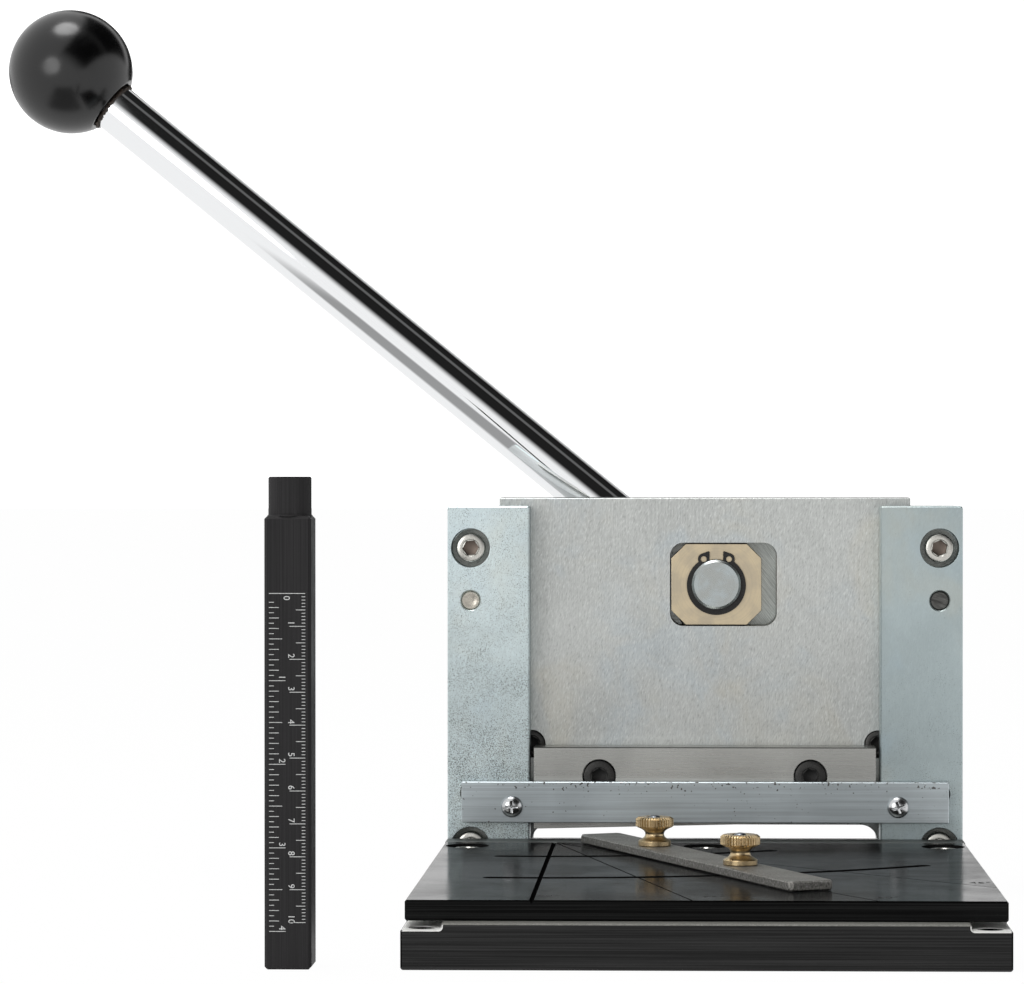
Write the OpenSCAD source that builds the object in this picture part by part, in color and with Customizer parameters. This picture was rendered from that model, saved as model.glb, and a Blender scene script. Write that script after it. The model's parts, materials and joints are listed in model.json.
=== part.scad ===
// Bench guillotine shear with a crank driven ram, a slotted work table,
// a swinging fence and a separate gauge bar.
// Millimetres. X runs to the right, Y from the front to the back, Z up.
// The origin is the centre of the base plate's underside.

/* [Base plate] */
// Overhang of the base plate past the table at each side
base_over = 0.85; // [0.4:0.05:6]
// Overhang of the base plate behind the back plate
base_rear_over = 25.8; // [20:0.1:60]
// Thickness of the base plate
base_h = 14.3; // [13:0.1:20]
// Depth of the slot across the base that the blade and the uprights stand in
seat_depth = 6.35; // [4.5:0.05:7]
// Width of the lowered ledge at each corner
ledge_w = 12.6; // [11:0.1:16]
// Length of the lowered ledge at each corner
ledge_l = 24; // [14:0.5:24.5]
// Drop of the lowered ledge at each corner
ledge_drop = 2.1; // [1:0.1:4]
// Diameter of the bench screw holes
bench_hole_d = 8.1; // [5:0.1:9]
// Distance from the side of the base to the bench screw holes
bench_hole_side = 6.35; // [5.5:0.05:8]
// Distance from the end of the base to the bench screw holes
bench_hole_end = 7.25; // [6:0.05:10]
// Edge chamfer of the plates
plate_chamfer = 0.5; // [0.1:0.1:1]

/* [Work table] */
// Depth of the work table
table_d = 183.4; // [175:0.1:200]
// Thickness of the work table
table_h = 6.35; // [5.5:0.05:9]
// Distance from the front of the base to the front of the table
table_setback = 6.4; // [2:0.1:10]
// Distance of the outer table screws from the table's sides
table_screw_side = 8.75; // [8:0.05:16]
// Distance of the table screws from the rear edge
table_screw_rear = 13.7; // [10:0.1:20]
// Distance of the angle lines' common point to the left of the middle
line_origin_left = 53.3; // [20:0.1:80]
// Width of the broad square line
broad_line_w = 1.5; // [0.5:0.1:3]
// Width of the thin angle lines
thin_line_w = 0.6; // [0.2:0.1:2]
// Depth of the engraved lines as a share of their width
line_depth_share = 0.5; // [0.3:0.05:0.7]

/* [Fence slots] */
// Distance of the slots' centre to the left of the middle
swing_left = 54.8; // [40:0.1:60]
// Distance of the slots' centre behind the table's front edge
swing_behind = 283; // [278:0.5:286]
// Radius of the rear slot
rear_slot_r = 150; // [140:0.5:155]
// Radius of the front slot
front_slot_r = 218.5; // [212:0.5:222]
// Clearance of the fence studs in both slots, on the width
stud_play = 0.3; // [0.2:0.05:1]
// Clearance of the stud heads in the undercut below the slots, on the width
undercut_play = 0.8; // [0.4:0.1:3]
// Left end of the rear slot, in degrees
rear_slot_from = -5.7; // [-8:0.1:-2]
// Right end of the rear slot, in degrees
rear_slot_to = 31.2; // [25:0.1:33]
// Left end of the front slot, in degrees
front_slot_from = -3.9; // [-6:0.1:-1]
// Right end of the front slot, in degrees
front_slot_to = 35.7; // [30:0.1:38]

/* [Fence] */
// Place of the rear stud along its slot, in degrees
rear_stud_at = 14.5; // [10:0.1:20]
// Place of the front stud along its slot, in degrees
front_stud_at = 17.6; // [13:0.1:24]
// Diameter of the fence studs
stud_d = 4.2; // [3:0.1:4.4]
// Diameter of the stud heads under the table
stud_head_d = 8.8; // [6:0.1:9.2]
// Height of the stud heads
stud_head_h = 2.6; // [1.5:0.1:2.6]
// How far the studs stand out of their thumb nuts
stud_over = 0.6; // [0.2:0.1:4]
// Width of the fence bar
fence_w = 15.2; // [12:0.1:16]
// Thickness of the fence bar
fence_t = 3.2; // [2:0.1:3.6]
// Overhang of the fence behind its rear stud
fence_rear_over = 48.5; // [30:0.5:50]
// Overhang of the fence in front of its front stud
fence_front_over = 53; // [20:0.5:70]
// Corner radius of the fence's ends
fence_corner_r = 1.2; // [0.5:0.1:4]

/* [Thumb nuts] */
// Diameter of the knurled head
nut_head_d = 13; // [10:0.1:15]
// Height of the knurled head
nut_head_h = 3.8; // [3:0.1:5]
// Whole height of the nut
nut_h = 9.9; // [9:0.1:10]
// Diameter of the foot flange
nut_foot_d = 11.2; // [9:0.1:13]
// Height of the foot flange
nut_foot_h = 2; // [1:0.1:2.5]
// Diameter of the narrow waist
nut_waist_d = 6.4; // [5.8:0.1:7.5]
// Number of knurls round the head
nut_knurls = 36; // [24:1:48]
// Depth of the knurls
knurl_depth = 0.4; // [0.2:0.05:0.6]

/* [Blades] */
// Depth of the lower blade bar from front to back
lower_blade_t = 12.7; // [10:0.1:14]
// Gap between each end of the upper blade and the guide plates
blade_side_gap = 1.65; // [1.3:0.05:7]
// Height of the upper blade at its left end
upper_blade_h = 29.2; // [28:0.1:31]
// Height of the upper blade's edge above the table at its left end, lever at rest
blade_open = 3.55; // [2.9:0.05:4.3]
// Slant of the upper blade's edge, in degrees
blade_slant = 1.315; // [0.5:0.005:1.5]
// Clearance between the two blades
shear_clearance = 0.05; // [0.02:0.01:0.1]
// Distance of the blade screws from the middle
blade_screw_x = 37.75; // [30:0.05:45]
// Distance of the blade screws below the upper blade's top edge
blade_screw_drop = 10.4; // [9.4:0.1:13]
// Diameter of the blade screw heads
blade_screw_d = 11.5; // [9:0.1:12]
// Clearance of the blade screw heads in their sockets, on the diameter
blade_sink_play = 0.6; // [0.2:0.1:2]

/* [Guides] */
// Distance between the two guide plates
guide_gap = 125.5; // [125:0.1:128]
// Width of each guide plate
guide_w = 29.3; // [28:0.1:31]
// Thickness of the guide plates
guide_t = 12.7; // [11:0.1:16]
// Height of the guide plates' top above the bench
guide_top = 139.65; // [135:0.05:142]
// Distance of the guide screws and dowel pins from the guide plates' outer sides
guide_screw_side = 8.25; // [7.6:0.05:11.5]
// Distance of the upper guide screws below the guide plates' top
guide_screw_drop = 14.95; // [11:0.05:19]
// Distance of the lower guide screws below the table's top
guide_foot_drop = 2.8; // [1.6:0.05:4]
// Distance of the upper dowel pins below the guide plates' top
dowel_drop = 33.75; // [29:0.05:50]
// Height of the lower dowel pins above the table's top
foot_dowel_rise = 16.25; // [12:0.05:24]
// Diameter of the dowel pins
dowel_d = 6.7; // [5:0.1:8]
// Diameter of the guide screw heads
guide_head_d = 10.2; // [9:0.1:11]
// Clearance of the guide screw heads in their sockets, on the diameter
guide_sink_play = 3.7; // [1:0.1:4]
// Thickness of the back plate
back_t = 15.9; // [14:0.1:20]
// Clearance of the ram in its slide, in front, behind and at each side
slide_clearance = 0.1; // [0.05:0.01:0.15]

/* [Feed throat] */
// How much the throat in the back plate is wider than the guide gap, at each side
throat_over = 0.45; // [0.1:0.05:1.3]
// Height of the throat's top above the table's top
throat_rise = 2.55; // [1.4:0.05:5.4]
// Corner radius of the throat
throat_r = 6.35; // [3:0.05:7]

/* [Guard] */
// Distance of the guard bar's ends from the guide plates' outer sides
guard_inset = 5.25; // [2:0.05:9.5]
// Gap between the table's top and the guard bar
guard_gap = 6.15; // [5.4:0.05:7.3]
// Height of the guard bar
guard_h = 14.55; // [12:0.05:16]
// Thickness of the guard bar
guard_t = 4.75; // [3:0.05:6]
// Distance of the guard screws from the guide plates' inner sides
guard_screw_side = 6.05; // [4.3:0.05:9]
// Height of the guard screws above the guard bar's lower edge
guard_screw_rise = 5.7; // [5.2:0.1:8.2]
// Diameter of the guard screw heads
guard_head_d = 7.7; // [6:0.1:9]

/* [Ram] */
// How far the ram plate reaches behind each guide plate
ram_lap = 11.4; // [9.3:0.05:13.2]
// Thickness of the ram plate
ram_t = 15.9; // [14:0.1:18]
// Height of the ram's top above the guide plates, lever at rest
ram_rise = 3.05; // [-1.6:0.05:6.3]
// Height of the ram's lower edge above the left end of the blade's edge
ram_above_edge = 2.8; // [0:0.1:4.8]
// Corner radius of the window
window_r = 4.8; // [2:0.1:6]
// Distance of the corner screws inside the guide plates' inner sides
corner_screw_side = 0.25; // [-1.2:0.05:1.8]
// Height of the corner screws above the upper blade's top edge
corner_screw_rise = 0.3; // [-1.4:0.1:2.6]
// Diameter of the corner screw heads
corner_screw_d = 9.7; // [8:0.1:10]

/* [Crank] */
// Distance of the crank's axis to the right of the middle
crank_x = 12.9; // [8:0.1:16]
// Distance of the crank's axis below the guide plates' top
crank_drop = 30.65; // [28.7:0.05:32.6]
// Throw of the eccentric pin
throw = 9; // [7:0.1:9.5]
// Direction of the pin from the crank's axis at rest, in degrees
pin_angle = 165; // [160:1:180]
// Diameter of the eccentric pin
pin_d = 17.7; // [15:0.1:19]
// How far the pin stands out of the slider block
pin_out = 3; // [2.6:0.1:4]
// Diameter of the crank's disc
disc_d = 48; // [44:0.5:50]
// Thickness of the crank's disc
disc_t = 6.2; // [5:0.1:8]
// Diameter of the shaft in its bush
journal_d = 25.4; // [22:0.1:28]
// Diameter of the shaft in the lever's hub
hub_seat_d = 19; // [17:0.1:20]
// Wall of the bronze bush
bush_wall = 3.2; // [2:0.1:4]

/* [Slider block] */
// Width of the slider block
block_w = 32.5; // [30:0.1:33]
// Height of the slider block
block_h = 29.2; // [26:0.1:31]
// Size of the slider block's cut corners
block_corner = 5.2; // [3:0.1:6]
// Gap above and below the block in the window
block_gap = 0.4; // [0.3:0.05:0.6]
// Gap at the left of the block in the window, lever at rest
block_left_gap = 0.45; // [0.4:0.05:0.8]
// Gap at the right of the block in the window, lever at rest
block_right_gap = 5.55; // [4.4:0.05:10]

/* [Retaining ring] */
// How far the ring stands out round the pin
ring_wall = 1.8; // [1.7:0.05:3]
// Thickness of the ring
ring_t = 1.2; // [1:0.1:1.5]
// Depth of the ring's groove in the pin
ring_groove = 0.5; // [0.3:0.05:0.7]
// Distance between the ring's two lugs
ring_opening = 4.9; // [4:0.1:6]

/* [Lever] */
// Angle of the handle above the horizontal at rest
lever_angle = 39.23; // [30:0.01:45]
// Distance of the handle's axis below the crank's axis
lever_offset = 8.7; // [6:0.1:11]
// Distance from the crank's axis to the ball's centre along the handle
ball_reach = 315.3; // [260:0.1:340]
// Diameter of the handle rod
rod_d = 18.1; // [16:0.1:20]
// How much thinner than the rod its threaded ends are, on the radius
rod_step = 3.05; // [2.8:0.05:4]
// Length of the rod's threaded ends
rod_end_l = 20; // [14:0.5:24]
// Diameter of the ball
ball_d = 46; // [40:0.5:55]
// Diameter of the ball's flat where the rod meets it
ball_flat_d = 23; // [22:0.5:30]
// Thickness of the collar between rod and ball
collar_t = 1.2; // [0.6:0.1:2]
// Diameter of the lever's hub
hub_d = 46; // [42:0.5:52]
// Thickness of the lever's hub
hub_t = 22; // [21:0.1:26]
// Reach of the hub's arm past the round of the hub
hub_arm_out = 25; // [23:0.5:37]
// Width of the hub's arm
hub_arm_w = 26; // [22:0.5:27]
// Thickness of the washer between hub and back plate
thrust_t = 1.6; // [1:0.1:2.5]

/* [Gauge bar] */
// Width of the gauge bar
gauge_w = 14.3; // [12:0.1:20]
// Depth of the gauge bar
gauge_t = 14.3; // [14:0.1:20]
// Height of the gauge bar's body
gauge_body_h = 137.9; // [120:0.1:160]
// Diameter of the round tang
tang_d = 13.2; // [10:0.1:13.5]
// Length of the tang
tang_l = 12; // [8:0.1:16]
// Width of the flat on the front of the tang
tang_flat_w = 5.5; // [3:0.1:8]
// Distance of the gauge bar's middle to the left of the machine's middle
gauge_left = 127.1; // [115:0.1:160]
// Chamfer of the gauge bar's long edges
gauge_chamfer = 0.9; // [0.3:0.1:1.5]

/* [Hidden] */
$fn = 72;

// Overrun of cuts past the faces they open
cut = 1;
// Clearance of a screw or a pin in its hole, on the diameter
fit = 0.1;
// Clearance of the seats that the uprights stand in
seat_fit = 0.05;
// Radius of the fillet along each corner ledge
ledge_fillet = 1;
// One turn, in degrees
full_turn = 360;

// Widths from the guide plates outwards
guide_in = guide_gap / 2;
guide_out = guide_in + guide_w;
table_w = 2 * guide_out;
base_w = table_w + 2 * base_over;
guard_w = 2 * (guide_out - guard_inset);
upper_blade_w = guide_gap - 2 * blade_side_gap;
ram_w = guide_gap + 2 * ram_lap;
spacer_in = ram_w / 2 + slide_clearance;
throat_w = guide_gap + 2 * throat_over;

// Planes from front to back
slide_t = guide_t + ram_t + 2 * slide_clearance;
base_d = table_setback + table_d + lower_blade_t + slide_t + back_t + base_rear_over;
base_front = -base_d / 2;
base_rear = base_d / 2;
table_front = base_front + table_setback;
table_rear = table_front + table_d;
cut_plane = table_rear + lower_blade_t;
guide_rear = cut_plane + guide_t;
ram_front = guide_rear + slide_clearance;
ram_rear = ram_front + ram_t;
back_front = ram_rear + slide_clearance;
back_rear = back_front + back_t;
guard_front = cut_plane - guard_t;
blade_front = cut_plane + shear_clearance;

// Levels from the bench upwards
seat_z = base_h - seat_depth;
ledge_z = base_h - ledge_drop;
table_top = base_h + table_h;
upper_blade_left = table_top + blade_open;
upper_blade_top = upper_blade_left + upper_blade_h;
ram_bottom = upper_blade_left + ram_above_edge;
ram_top = guide_top + ram_rise;
guard_z = table_top + guard_gap;
throat_top = table_top + throat_rise;
crank_z = guide_top - crank_drop;

// Places of the screws and pins seen from the front
table_screw_x = table_w / 2 - table_screw_side;
guide_screw_x = guide_out - guide_screw_side;
guide_screw_z = guide_top - guide_screw_drop;
guide_foot_screw_z = table_top - guide_foot_drop;
dowel_z = guide_top - dowel_drop;
foot_dowel_z = table_top + foot_dowel_rise;
guard_screw_x = guide_in + guard_screw_side;
guard_screw_z = guard_z + guard_screw_rise;
blade_screw_z = upper_blade_top - blade_screw_drop;
corner_screw_x = guide_in - corner_screw_side;
corner_screw_z = upper_blade_top + corner_screw_rise;

// Gauge bar's tang: chamfer at its end and slope at its root
tang_chamfer = 0.4;
tang_root = 0.4;

// Common screw sizes: shank, socket across flats and socket depth
m5_d = 5;
m6_d = 6;
hex5 = 5;
hex4 = 4;
hex3 = 3;
socket_depth = 3;
socket_share = 0.7;
screw_edge_share = 0.05;
m6_head_h = 6;
head_recess = 0.8;

// Table screws
table_head_d = 10;
table_head_h = 3.2;
table_head_recess = 0.7;
table_sink_play = 4.9;
table_sink_d = table_head_d + table_sink_play;
table_grip = 8;
line_overrun = 2;

// Slots, and the undercut below them for the stud heads
stud_head_play = 0.3;
slot_w = stud_d + stud_play;
undercut_w = stud_head_d + undercut_play;
undercut_h = stud_head_h + 2 * stud_head_play;

// The slots' round ends are narrower than the slots by this much
slot_end_step = 0.2;

// Screws from under the base
flat_head_d = 11;
flat_head_h = 2.7;
upright_side = 8.25;
upright_x = guide_in + upright_side;
upright_grip = 14;
lower_blade_screw_side = 0.75;
lower_blade_screw_x = guide_in - lower_blade_screw_side;
lower_blade_grip = 8;

// Guide screws and dowel pins reach into the back plate by this much
back_grip = 12;
guide_sink_d = guide_head_d + guide_sink_play;
dowel_chamfer = 0.5;
dowel_recess = 0.3;

// Guard bar and its screws
guard_chamfer = 0.25;
guard_head_h = 2.6;
guard_shank_d = 4;
guard_grip = 8;
cross_w = 1;
cross_l = 4.4;
cross_depth = 1.4;

// Blades, blade screws and corner screws
blade_chamfer = 0.1;
blade_head_h = 4.5;
blade_head_recess = 0.4;
blade_grip = 12;
blade_sink_d = blade_screw_d + blade_sink_play;
corner_head_h = 5;
corner_sink_play = 0.3;
corner_sink_d = corner_screw_d + corner_sink_play;
corner_grip = 8;

// Eccentric pin and the slider block on it
pin_x = crank_x + throw * cos(pin_angle);
pin_z = crank_z + throw * sin(pin_angle);
pin_fit = 0.05;
block_recess = 0.35;
block_front = ram_front + block_recess;
block_rear = ram_rear - slide_clearance / 2;
window_w = block_left_gap + block_w + block_right_gap;
window_h = block_h + 2 * block_gap;
window_left = pin_x - block_w / 2 - block_left_gap;
pin_end = block_front - pin_out;
pin_chamfer = 0.8;
ring_play = 0.05;
ring_d = pin_d + 2 * ring_wall;
ring_front = block_front - ring_play - ring_t;
lug_r = 2.1;
lug_tip_r = 0.4;
lug_rise = 2.4;
lug_hole_r = 1.05;
lug_out = 0.45;
ring_wide = 0.35;

// Shaft, disc and bush
disc_play = 0.15;
disc_fit = 0.4;
shaft_fit = 0.05;
disc_front = back_front + disc_play;
disc_rear = disc_front + disc_t;
disc_floor = disc_rear + disc_play;
bush_d = journal_d + 2 * bush_wall;
journal_rear = back_rear + disc_play / 2;
thrust_front = back_rear + disc_play;
hub_front = thrust_front + thrust_t;
hub_rear = hub_front + hub_t;
shaft_end = hub_rear - disc_play;

// Key, set screw, washer and bolt of the hub
key_w = 4.8;
key_deep = 2.4;
key_l = 16;
key_setback = 2;
set_screw_d = 6;
set_screw_l = 8;
hub_washer_d = 24;
hub_washer_t = 2;
hub_bolt_grip = 14;
hub_bolt_head_d = 13;
hub_bolt_head_h = 4;
hub_chamfer = 1;

// Handle
rod_end_d = rod_d - 2 * rod_step;
hub_arm_l = hub_d / 2 + hub_arm_out;
rod_y = (hub_front + hub_rear) / 2;
ball_flat_at = sqrt(pow(ball_d / 2, 2) - pow(ball_flat_d / 2, 2));
rod_from = hub_arm_l;
rod_to = ball_reach - ball_flat_at - collar_t;
rod_chamfer = 0.6;
collar_over = 0.9;
blind_extra = 1;

// Fence and studs in the swing's polar frame
swing_y = table_front + swing_behind;
fence_play = 0.1;
fence_z = table_top + fence_play;
fence_top = fence_z + fence_t;
stud_top = fence_top + nut_h + stud_over;
stud_hole_fit = 0.2;
fence_edge = 0.5;
nut_chamfer = 0.6;
nut_neck_share = 0.35;

function polar(r, a) = [-swing_left + r * sin(a), swing_y - r * cos(a)];
rear_stud = polar(rear_slot_r, rear_stud_at);
front_stud = polar(front_slot_r, front_stud_at);
fence_run = front_stud - rear_stud;
fence_pitch = norm(fence_run);
fence_angle = atan2(fence_run[1], fence_run[0]);

// Rectangle from the origin with all four corners cut at 45 degrees
module cut_rect(w, h, c) {
    polygon([
        [c, 0], [w - c, 0], [w, c], [w, h - c],
        [w - c, h], [c, h], [0, h - c], [0, c]
    ]);
}

// Box between two opposite corners with all its edges chamfered
module plate(low, high, c) {
    size = high - low;
    translate(low)
    intersection() {
        linear_extrude(height = size[2]) cut_rect(size[0], size[1], c);
        translate([0, size[1], 0])
            rotate([90, 0, 0])
            linear_extrude(height = size[1]) cut_rect(size[0], size[2], c);
        rotate([90, 0, 90])
            linear_extrude(height = size[0]) cut_rect(size[1], size[2], c);
    }
}

// Plain box between two opposite corners
module box(low, high) {
    translate(low) cube(high - low);
}

// Cylinder along Y from one plane to another
module bar_y(x, z, y0, y1, d) {
    translate([x, y0, z]) rotate([-90, 0, 0]) cylinder(h = y1 - y0, d = d);
}

// Cylinder along Z from one level to another
module bar_z(x, y, z0, z1, d) {
    translate([x, y, z0]) cylinder(h = z1 - z0, d = d);
}

// Mirrors its children to both sides of the middle
module both_sides() {
    children();
    mirror([1, 0, 0]) children();
}

// Socket screw with its head's face at the origin, looking along +Z
module socket_screw(head_d, head_h, shank_d, grip, across) {
    edge = head_d * screw_edge_share;
    difference() {
        union() {
            translate([0, 0, -edge]) cylinder(h = edge, d1 = head_d, d2 = head_d - 2 * edge);
            translate([0, 0, -head_h]) cylinder(h = head_h - edge, d = head_d);
            translate([0, 0, -head_h - grip]) cylinder(h = grip, d = shank_d);
        }
        translate([0, 0, -min(socket_depth, head_h * socket_share)])
            cylinder(h = socket_depth + cut, d = across / cos(30), $fn = 6);
    }
}

// Flat head screw with its face at the origin, looking along -Z, going up
module flat_screw(head_d, head_h, shank_d, grip, across) {
    difference() {
        union() {
            cylinder(h = head_h, d1 = head_d, d2 = shank_d);
            translate([0, 0, head_h]) cylinder(h = grip, d = shank_d);
        }
        translate([0, 0, -cut])
            cylinder(h = cut + head_h * socket_share, d = across / cos(30), $fn = 6);
    }
}

// Hole for a flat head screw that starts at the underside of the base
module flat_sink(grip) {
    translate([0, 0, -cut]) cylinder(h = cut + fit, d = flat_head_d + fit);
    translate([0, 0, fit]) cylinder(h = flat_head_h, d1 = flat_head_d + fit, d2 = m6_d + fit);
    cylinder(h = flat_head_h + grip + fit, d = m6_d + fit);
}

// Places of the screws that come up from below
module at_uprights() {
    both_sides() {
        translate([upright_x, (cut_plane + guide_rear) / 2, 0]) children();
        translate([upright_x, (back_front + back_rear) / 2, 0]) children();
    }
}

module at_lower_blade_screws() {
    for (x = [-lower_blade_screw_x, 0, lower_blade_screw_x])
        translate([x, (table_rear + cut_plane) / 2, 0]) children();
}

module at_table_screws() {
    for (x = [-table_screw_x, 0, table_screw_x])
        translate([x, table_rear - table_screw_rear, 0]) children();
}

// Lowered ledge at one front corner, with a fillet at its foot
module ledge_cut() {
    reach = ledge_w + cut;
    rise = ledge_drop + cut;
    translate([base_w / 2 - ledge_w, base_front - cut, ledge_z])
        mirror([0, 1, 0])
        rotate([90, 0, 0])
        linear_extrude(height = ledge_l + cut)
        union() {
            translate([ledge_fillet, 0]) square([reach - ledge_fillet, rise]);
            translate([0, ledge_fillet]) square([reach, rise - ledge_fillet]);
            translate([ledge_fillet, ledge_fillet]) circle(r = ledge_fillet);
        }
}

module base_plate() {
    half_w = base_w / 2;
    hole_x = half_w - bench_hole_side;
    hole_y = base_rear - bench_hole_end;
    color([0.1, 0.1, 0.11])
    difference() {
        plate([-half_w, base_front, 0], [half_w, base_rear, base_h], plate_chamfer);
        box([-half_w - cut, table_rear, seat_z], [half_w + cut, back_rear + seat_fit, base_h + cut]);
        both_sides() {
            ledge_cut();
            mirror([0, 1, 0]) ledge_cut();
            bar_z(hole_x, hole_y, -cut, base_h + cut, bench_hole_d);
            bar_z(hole_x, -hole_y, -cut, base_h + cut, bench_hole_d);
        }
        at_uprights() flat_sink(upright_grip);
        at_lower_blade_screws() flat_sink(lower_blade_grip);
        at_table_screws() bar_z(0, 0, base_h - table_grip - cut, base_h + cut, m5_d + fit);
    }
}

// Part of a ring between two angles about the fence's swing centre, from one level to another
module ring_sector(r, from, to, w, z0, z1) {
    translate([-swing_left, swing_y, z0])
        rotate([0, 0, from - 90])
        rotate_extrude(angle = to - from)
        translate([r - w / 2, 0]) square([w, z1 - z0]);
}

// Curved slot with round ends through the table, and the wider groove under it for the stud heads
module arc_slot(r, from, to) {
    low = base_h - cut;
    high = table_top + cut;
    turn = asin(undercut_w / (2 * r));
    ring_sector(r, from, to, slot_w, low, high);
    for (a = [from, to])
        translate([polar(r, a)[0], polar(r, a)[1], low])
            cylinder(h = high - low, d = slot_w - slot_end_step);
    ring_sector(r, from - turn, to + turn, undercut_w, low, base_h + undercut_h);
}

// Engraved line of V section through the lines' common point on the rear edge
module angle_line(angle, w) {
    depth = w * line_depth_share;
    rise = w * cut / (2 * depth);
    translate([-line_origin_left, table_rear, table_top])
        rotate([0, 0, -angle])
        translate([-line_overrun, 0, 0])
        rotate([90, 0, 90])
        linear_extrude(height = line_overrun + table_w + table_d)
        polygon([[0, -depth], [w / 2 + rise, cut], [-w / 2 - rise, cut]]);
}

module work_table() {
    color([0.09, 0.09, 0.1])
    difference() {
        plate([-table_w / 2, table_front, base_h], [table_w / 2, table_rear, table_top], plate_chamfer);
        arc_slot(rear_slot_r, rear_slot_from, rear_slot_to);
        arc_slot(front_slot_r, front_slot_from, front_slot_to);
        angle_line(90, broad_line_w);
        angle_line(75, thin_line_w);
        angle_line(60, thin_line_w);
        angle_line(45, thin_line_w);
        at_table_screws() {
            bar_z(0, 0, base_h - cut, table_top + cut, m5_d + fit);
            bar_z(0, 0, table_top - table_head_recess - table_head_h, table_top + cut, table_sink_d);
        }
    }
}

module table_screws() {
    color([0.8, 0.8, 0.8])
    at_table_screws()
        translate([0, 0, table_top - table_head_recess])
        socket_screw(table_head_d, table_head_h, m5_d, table_grip, hex4);
}

module lower_blade() {
    color([0.62, 0.62, 0.6])
    difference() {
        plate([-table_w / 2, table_rear, seat_z], [table_w / 2, cut_plane, table_top], blade_chamfer);
        at_lower_blade_screws() flat_sink(lower_blade_grip);
    }
}

module lower_blade_screws() {
    color([0.15, 0.15, 0.15])
    at_lower_blade_screws() flat_screw(flat_head_d, flat_head_h, m6_d, lower_blade_grip, hex4);
}

// Holes along Y that the guide plates, the spacers and the back plate share
module guide_holes() {
    for (z = [guide_screw_z, guide_foot_screw_z])
        bar_y(guide_screw_x, z, cut_plane - cut, back_front + back_grip + fit, m6_d + fit);
    for (z = [dowel_z, foot_dowel_z])
        bar_y(guide_screw_x, z, cut_plane - cut, back_front + back_grip + fit, dowel_d + fit);
}

module right_guide() {
    sink_floor = cut_plane + head_recess + m6_head_h;
    difference() {
        plate([guide_in, cut_plane, seat_z], [guide_out, guide_rear, guide_top], plate_chamfer);
        guide_holes();
        for (z = [guide_screw_z, guide_foot_screw_z])
            bar_y(guide_screw_x, z, cut_plane - cut, sink_floor, guide_sink_d);
        for (z = [dowel_z, foot_dowel_z])
            translate([guide_screw_x, cut_plane, z])
                rotate([-90, 0, 0])
                cylinder(h = dowel_chamfer, d1 = dowel_d + 2 * dowel_chamfer, d2 = dowel_d + fit);
        bar_y(guard_screw_x, guard_screw_z, cut_plane - cut, cut_plane + guard_grip, guard_shank_d + fit);
        at_uprights() flat_sink(upright_grip);
    }
}

module right_guide_plate() {
    color([0.68, 0.71, 0.72]) right_guide();
}

module left_guide_plate() {
    color([0.66, 0.69, 0.69]) mirror([1, 0, 0]) right_guide();
}

module side_spacer() {
    difference() {
        plate([spacer_in, guide_rear, seat_z], [guide_out, back_front, guide_top], plate_chamfer);
        guide_holes();
    }
}

module right_spacer() {
    color([0.66, 0.69, 0.7]) side_spacer();
}

module left_spacer() {
    color([0.66, 0.69, 0.7]) mirror([1, 0, 0]) side_spacer();
}

// Opening in the back plate's foot, with two round corners at its top
module throat_cut() {
    x = throat_w / 2 - throat_r;
    z = throat_top - throat_r;
    box([-throat_w / 2, back_front - cut, seat_z - cut], [throat_w / 2, back_rear + cut, z]);
    box([-x, back_front - cut, seat_z - cut], [x, back_rear + cut, throat_top]);
    both_sides() bar_y(x, z, back_front - cut, back_rear + cut, 2 * throat_r);
}

module back_plate() {
    color([0.64, 0.67, 0.68])
    difference() {
        plate([-guide_out, back_front, seat_z], [guide_out, back_rear, guide_top], plate_chamfer);
        throat_cut();
        both_sides() guide_holes();
        at_uprights() flat_sink(upright_grip);
        bar_y(crank_x, crank_z, back_front - cut, disc_floor, disc_d + 2 * disc_fit);
        bar_y(crank_x, crank_z, back_front, back_rear + cut, bush_d);
    }
}

module guide_screws() {
    grip = back_front + back_grip - cut_plane - head_recess - m6_head_h;
    color([0.78, 0.77, 0.75])
    both_sides()
        for (z = [guide_screw_z, guide_foot_screw_z])
            translate([guide_screw_x, cut_plane + head_recess, z])
                rotate([90, 0, 0])
                socket_screw(guide_head_d, m6_head_h, m6_d, grip, hex5);
}

module dowel_pins() {
    color([0.6, 0.58, 0.56])
    both_sides()
        for (z = [dowel_z, foot_dowel_z])
            bar_y(guide_screw_x, z, cut_plane + dowel_recess, back_front + back_grip, dowel_d);
}

module upright_screws() {
    color([0.15, 0.15, 0.15])
    at_uprights() flat_screw(flat_head_d, flat_head_h, m6_d, upright_grip, hex4);
}

module guard_bar() {
    color([0.7, 0.72, 0.75])
    difference() {
        plate([-guard_w / 2, guard_front, guard_z],
            [guard_w / 2, cut_plane, guard_z + guard_h], guard_chamfer);
        both_sides()
            bar_y(guard_screw_x, guard_screw_z, guard_front - cut, cut_plane + cut, guard_shank_d + fit);
    }
}

// Pan head screw with a cross recess, its seat at the origin, looking along +Z
module pan_screw() {
    dome_r = (pow(guard_head_d / 2, 2) + pow(guard_head_h, 2)) / (2 * guard_head_h);
    difference() {
        union() {
            intersection() {
                translate([0, 0, guard_head_h - dome_r]) sphere(r = dome_r);
                cylinder(h = guard_head_h, d = guard_head_d);
            }
            translate([0, 0, -guard_t - guard_grip + fit])
                cylinder(h = guard_t + guard_grip - fit, d = guard_shank_d);
        }
        for (a = [0, 90])
            rotate([0, 0, a])
                translate([-cross_l / 2, -cross_w / 2, guard_head_h - cross_depth])
                cube([cross_l, cross_w, cross_depth + cut]);
    }
}

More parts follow.
